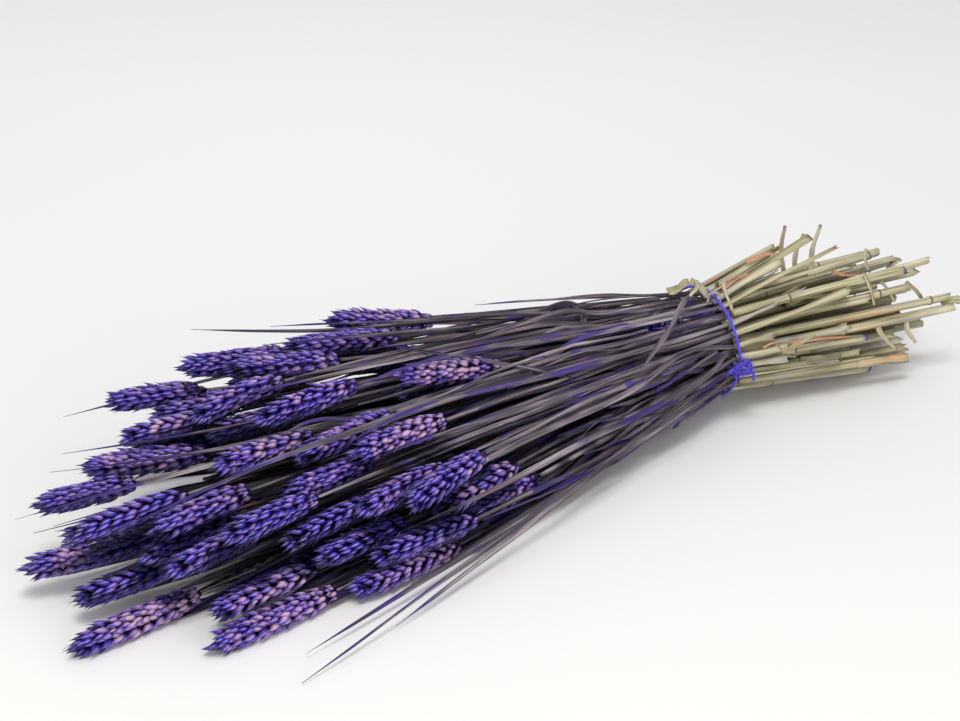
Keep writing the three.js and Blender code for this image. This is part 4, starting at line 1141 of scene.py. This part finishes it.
def grow_sheath(shape, path, radii, from_share, to_share, luck):
    """A leaf sheath round a straw: a thin split tube, loosening towards its torn end."""
    n = len(path)
    first = int(from_share * (n - 1))
    rows = np.arange(first, min(n, max(int(to_share * (n - 1)), first + SHEATH_ROWS) + 1))
    if len(rows) < SHEATH_ROWS:
        return
    path, radii = path[rows], radii[rows]
    n, t = shares(path)
    span = mix(rng.uniform(4.2, 5.6), rng.uniform(2.4, 4.2), t)
    loose = radii + 0.35 + rng.uniform(0.2, 1.6) * rising(t, 0.5, 0.5)
    outer = np.linspace(-0.5, 0.5, SHEATH_HALF) * span[:, None]
    angle = np.concatenate([outer, outer[:, ::-1]], axis=1)
    radius = loose[:, None] - np.repeat([0, SHEATH_WALL], SHEATH_HALF)
    outline = np.stack([np.cos(angle) * radius, np.sin(angle) * radius], axis=2)
    teeth = rng.uniform(-5, 4, SHEATH_HALF)
    rough = np.zeros((n, 2 * SHEATH_HALF))
    rough[-1] = np.concatenate([teeth, teeth[::-1]])
    sweep(shape, path, outline, rng.uniform(0, math.tau), luck, rough=rough)


straws, sheaths, strips = Shape(), Shape(), Shape()
for chain, radius in zip(chains, straw_radii):
    path, radii = grow_straw(straws, chain, radius, rng.random())
    if rng.random() < 0.75:
        grow_sheath(sheaths, path, radii, 0.0, rng.uniform(0.3, 0.85), rng.random())
    if rng.random() < 0.35:
        grow_sheath(sheaths, path, radii, rng.uniform(0.5, 0.75), 1.0, rng.random())

for (foot, _), tip in zip(chains[len(EARS):], stub_tips):
    path = spline([foot, mix(foot, tip, 0.5) + rng.normal(0, 1.2, 3), tip], SHEATH_STEP)
    n, t = shares(path)
    hollow = rng.uniform(1.7, 2.3) * mix(1, 0.8, t) * (1 + wander(n, 4, 0.12))
    grow_sheath(sheaths, path, hollow, 0.0, 1.0, rng.random())

# a scrap springs from the nearest straw at its root's distance from the string
for root, tip in SCRAPS:
    spots = [
        mix(start, end, (root[0] - start[0]) / (end[0] - start[0]))
        for start, end in chains[:len(EARS)] if end[0] > root[0] + STRAW_RADIUS
    ]
    foot = min(spots, key=lambda spot: np.linalg.norm(spot - root))
    middle = mix(foot, np.array(tip, float), 0.5) + [-3, 0, 0]
    grow_strip(strips, [foot, middle, tip], 4.6, 3.0, 0.55)

for points, wide, dye in STRIPS:
    grow_strip(strips, points, wide, wide * (0.45 if dye > 1 else 0.7), dye)

# broad, torn leaf bases that lie along the straws
for k in rng.choice(len(EARS), FLAPS, replace=False):
    a = rng.uniform(0.02, 0.5)
    b = min(0.98, a + rng.uniform(0.15, 0.45))
    path = spline([mix(*chains[k], share) for share in (a, (a + b) / 2, b)], LEAF_STEP)
    n, t = shares(path)
    angle = rng.uniform(0, math.tau) + wander(n, 2, 0.5)
    line = beside(path, 3.4 + rng.uniform(0, 5) * t**2, angle)
    wide = mix(rng.uniform(4, 7), rng.uniform(1.5, 5), t)
    grow_blade(sheaths, line, wide, rng.random(), 0.0, angle - math.pi / 2)

crown = Crown(np.concatenate([block for shape in (straws, sheaths) for block in shape.points]))
straws.mesh("straws", straw, ("butts",), "straw", crown)
sheaths.mesh("straw_sheaths", straw, ("butts",), "straw", crown)
strips.mesh("straw_strips", straw, ("butts",), "straw")

# ---------------------------------------------------------------- string
rng = np.random.default_rng(SEED + 2)
RING_OFF, RING_STEPS = STRING_GAP + 1.2, 260  # how far the string's middle line is off the waist
PLY_RADIUS, PLY_OFFSET, PLY_PITCH = 0.78, 0.66, 6.5
RING_FLUFF, LOOP_FLUFF, END_FLUFF, FLUFF_LONG, FLUFF_RADII = 420, 260, 60, 2.6, (0.13, 0.065)
# The knot is a few loops of string, each a bent oval that is tilted further than the one before.
KNOT = np.array([-1.0, -50.0, 46.0])
LOOPS, LOOP_STEPS, LOOP_TILT, LOOP_WIDE, LOOP_DEEP, LOOP_HIGH = 4, 40, 0.35, 7.5, 1.8, 3.6
FRAYED_ENDS = [(-6, -50, 47), (-10, -51, 47), (-13, -51, 45)], [(4, -50, 44), (7, -53, 41), (7, -54, 37)]


def grow_string(shape, path, luck):
    """Two plies twisted round each other along a path."""
    frame_of = directions(path)
    run = distances(path)
    for ply in (0, math.pi):
        turn = (run / PLY_PITCH * 2 * math.pi + ply)[:, None]
        line = path + PLY_OFFSET * (frame_of[1] * np.cos(turn) + frame_of[2] * np.sin(turn))
        radii = PLY_RADIUS * (1 + wander(len(path), len(path) // 4, 0.12))
        sweep(shape, line, tube(radii, 7), 0, luck, 0.0, frame_of, run)


def grow_fluff(shape, where, outward, count, reach):
    """Loose curly fibres that stand off the string."""
    for _ in range(count):
        k = rng.integers(len(where))
        aim = unit(outward[k] + rng.normal(0, 0.8, 3))
        curl = rng.normal(0, 1, 3)
        long = reach * rng.uniform(0.4, 1.3)
        grow_hair(shape, where[k], aim * long, curl * long * 0.5, FLUFF_RADII, rng.random())


tie = Shape()
turn = np.linspace(-math.pi, math.pi, RING_STEPS)
outward = np.stack([0 * turn, np.cos(turn), np.sin(turn)], axis=1)
ring = outward * [0, WAIST_Y + RING_OFF, WAIST_Z + RING_OFF] + [0, 0, WAIST_HEIGHT]
ring[:, 0] = wander(RING_STEPS, 12, 0.9)
ring[-1] = ring[0]
grow_string(tie, ring, 0.2)
grow_fluff(tie, ring, outward, RING_FLUFF, FLUFF_LONG)
for loop in range(LOOPS):
    a = np.linspace(0, math.tau, LOOP_STEPS)
    tilt = (loop - (LOOPS - 1) / 2) * LOOP_TILT
    level, steep = math.cos(tilt), math.sin(tilt)
    coil = np.stack([np.cos(a) * LOOP_WIDE, np.sin(2 * a + tilt) * LOOP_DEEP, np.sin(a) * LOOP_HIGH], axis=1)
    coil = coil @ np.array([[level, 0, steep], [0, 1, 0], [-steep, 0, level]]) * rng.uniform(0.7, 1.0)
    grow_string(tie, KNOT + coil, 0.4)
    grow_fluff(tie, KNOT + coil, unit(coil + [0, -3, 0]), LOOP_FLUFF, FLUFF_LONG)
for row in FRAYED_ENDS:
    end = spline(row, 1.2)
    grow_string(tie, end, 0.6)
    grow_fluff(tie, end[-8:], np.tile(unit(end[-1] - end[-2]), (8, 1)), END_FLUFF, 2.2)
tie.mesh("string_tie", string, ("tie",), "string")

# ---------------------------------------------------------------- floor, light and camera
LENS, SENSOR = 60.0, 36.0
AZIMUTH, ELEVATION, DISTANCE = math.radians(-26), math.radians(28), 1.142
TARGET = Vector((np.array([-155.7, 51.12, 40.0]) + ORIGIN) / MM)
FLOOR_HALF = 8.0
WORLD_COLOUR, WORLD_STRENGTH = (1.0, 0.985, 0.965, 1), 0.70

floor_mesh = bpy.data.meshes.new("floor")
corners = [(x * FLOOR_HALF, y * FLOOR_HALF, 0) for x, y in ((-1, -1), (1, -1), (1, 1), (-1, 1))]
floor_mesh.from_pydata(corners, [], [(0, 1, 2, 3)])
floor = bpy.data.objects.new("floor", floor_mesh)
bpy.context.collection.objects.link(floor)
floor_mesh.materials.append(floor_paint())

world = bpy.data.worlds.new("studio")
bpy.context.scene.world = world
world.use_nodes = True
background = world.node_tree.nodes["Background"]
background.inputs["Color"].default_value = WORLD_COLOUR
background.inputs["Strength"].default_value = WORLD_STRENGTH


def area_light(name, place, target, size, watts):
    light = bpy.data.objects.new(name, bpy.data.lights.new(name, "AREA"))
    light.data.shape = "DISK"
    light.data.size = size
    light.data.energy = watts
    light.location = place
    light.rotation_euler = (Vector(target) - Vector(place)).to_track_quat("-Z", "Y").to_euler()
    bpy.context.collection.objects.link(light)


area_light("key", (-0.4, -0.7, 2.3), (-0.05, 0.0, 0), 0.9, 29)
area_light("fill", (0.2, -1.8, 0.55), (0.0, 0.0, 0.03), 1.0, 7)

camera = bpy.data.objects.new("camera", bpy.data.cameras.new("camera"))
bpy.context.collection.objects.link(camera)
camera.data.lens, camera.data.sensor_width = LENS, SENSOR
back = Vector((
    math.sin(AZIMUTH) * math.cos(ELEVATION),
    -math.cos(AZIMUTH) * math.cos(ELEVATION),
    math.sin(ELEVATION),
))
camera.location = TARGET + back * DISTANCE
camera.rotation_euler = (-back).to_track_quat("-Z", "Y").to_euler()
bpy.context.scene.camera = camera
bpy.context.scene.view_settings.view_transform = "Standard"
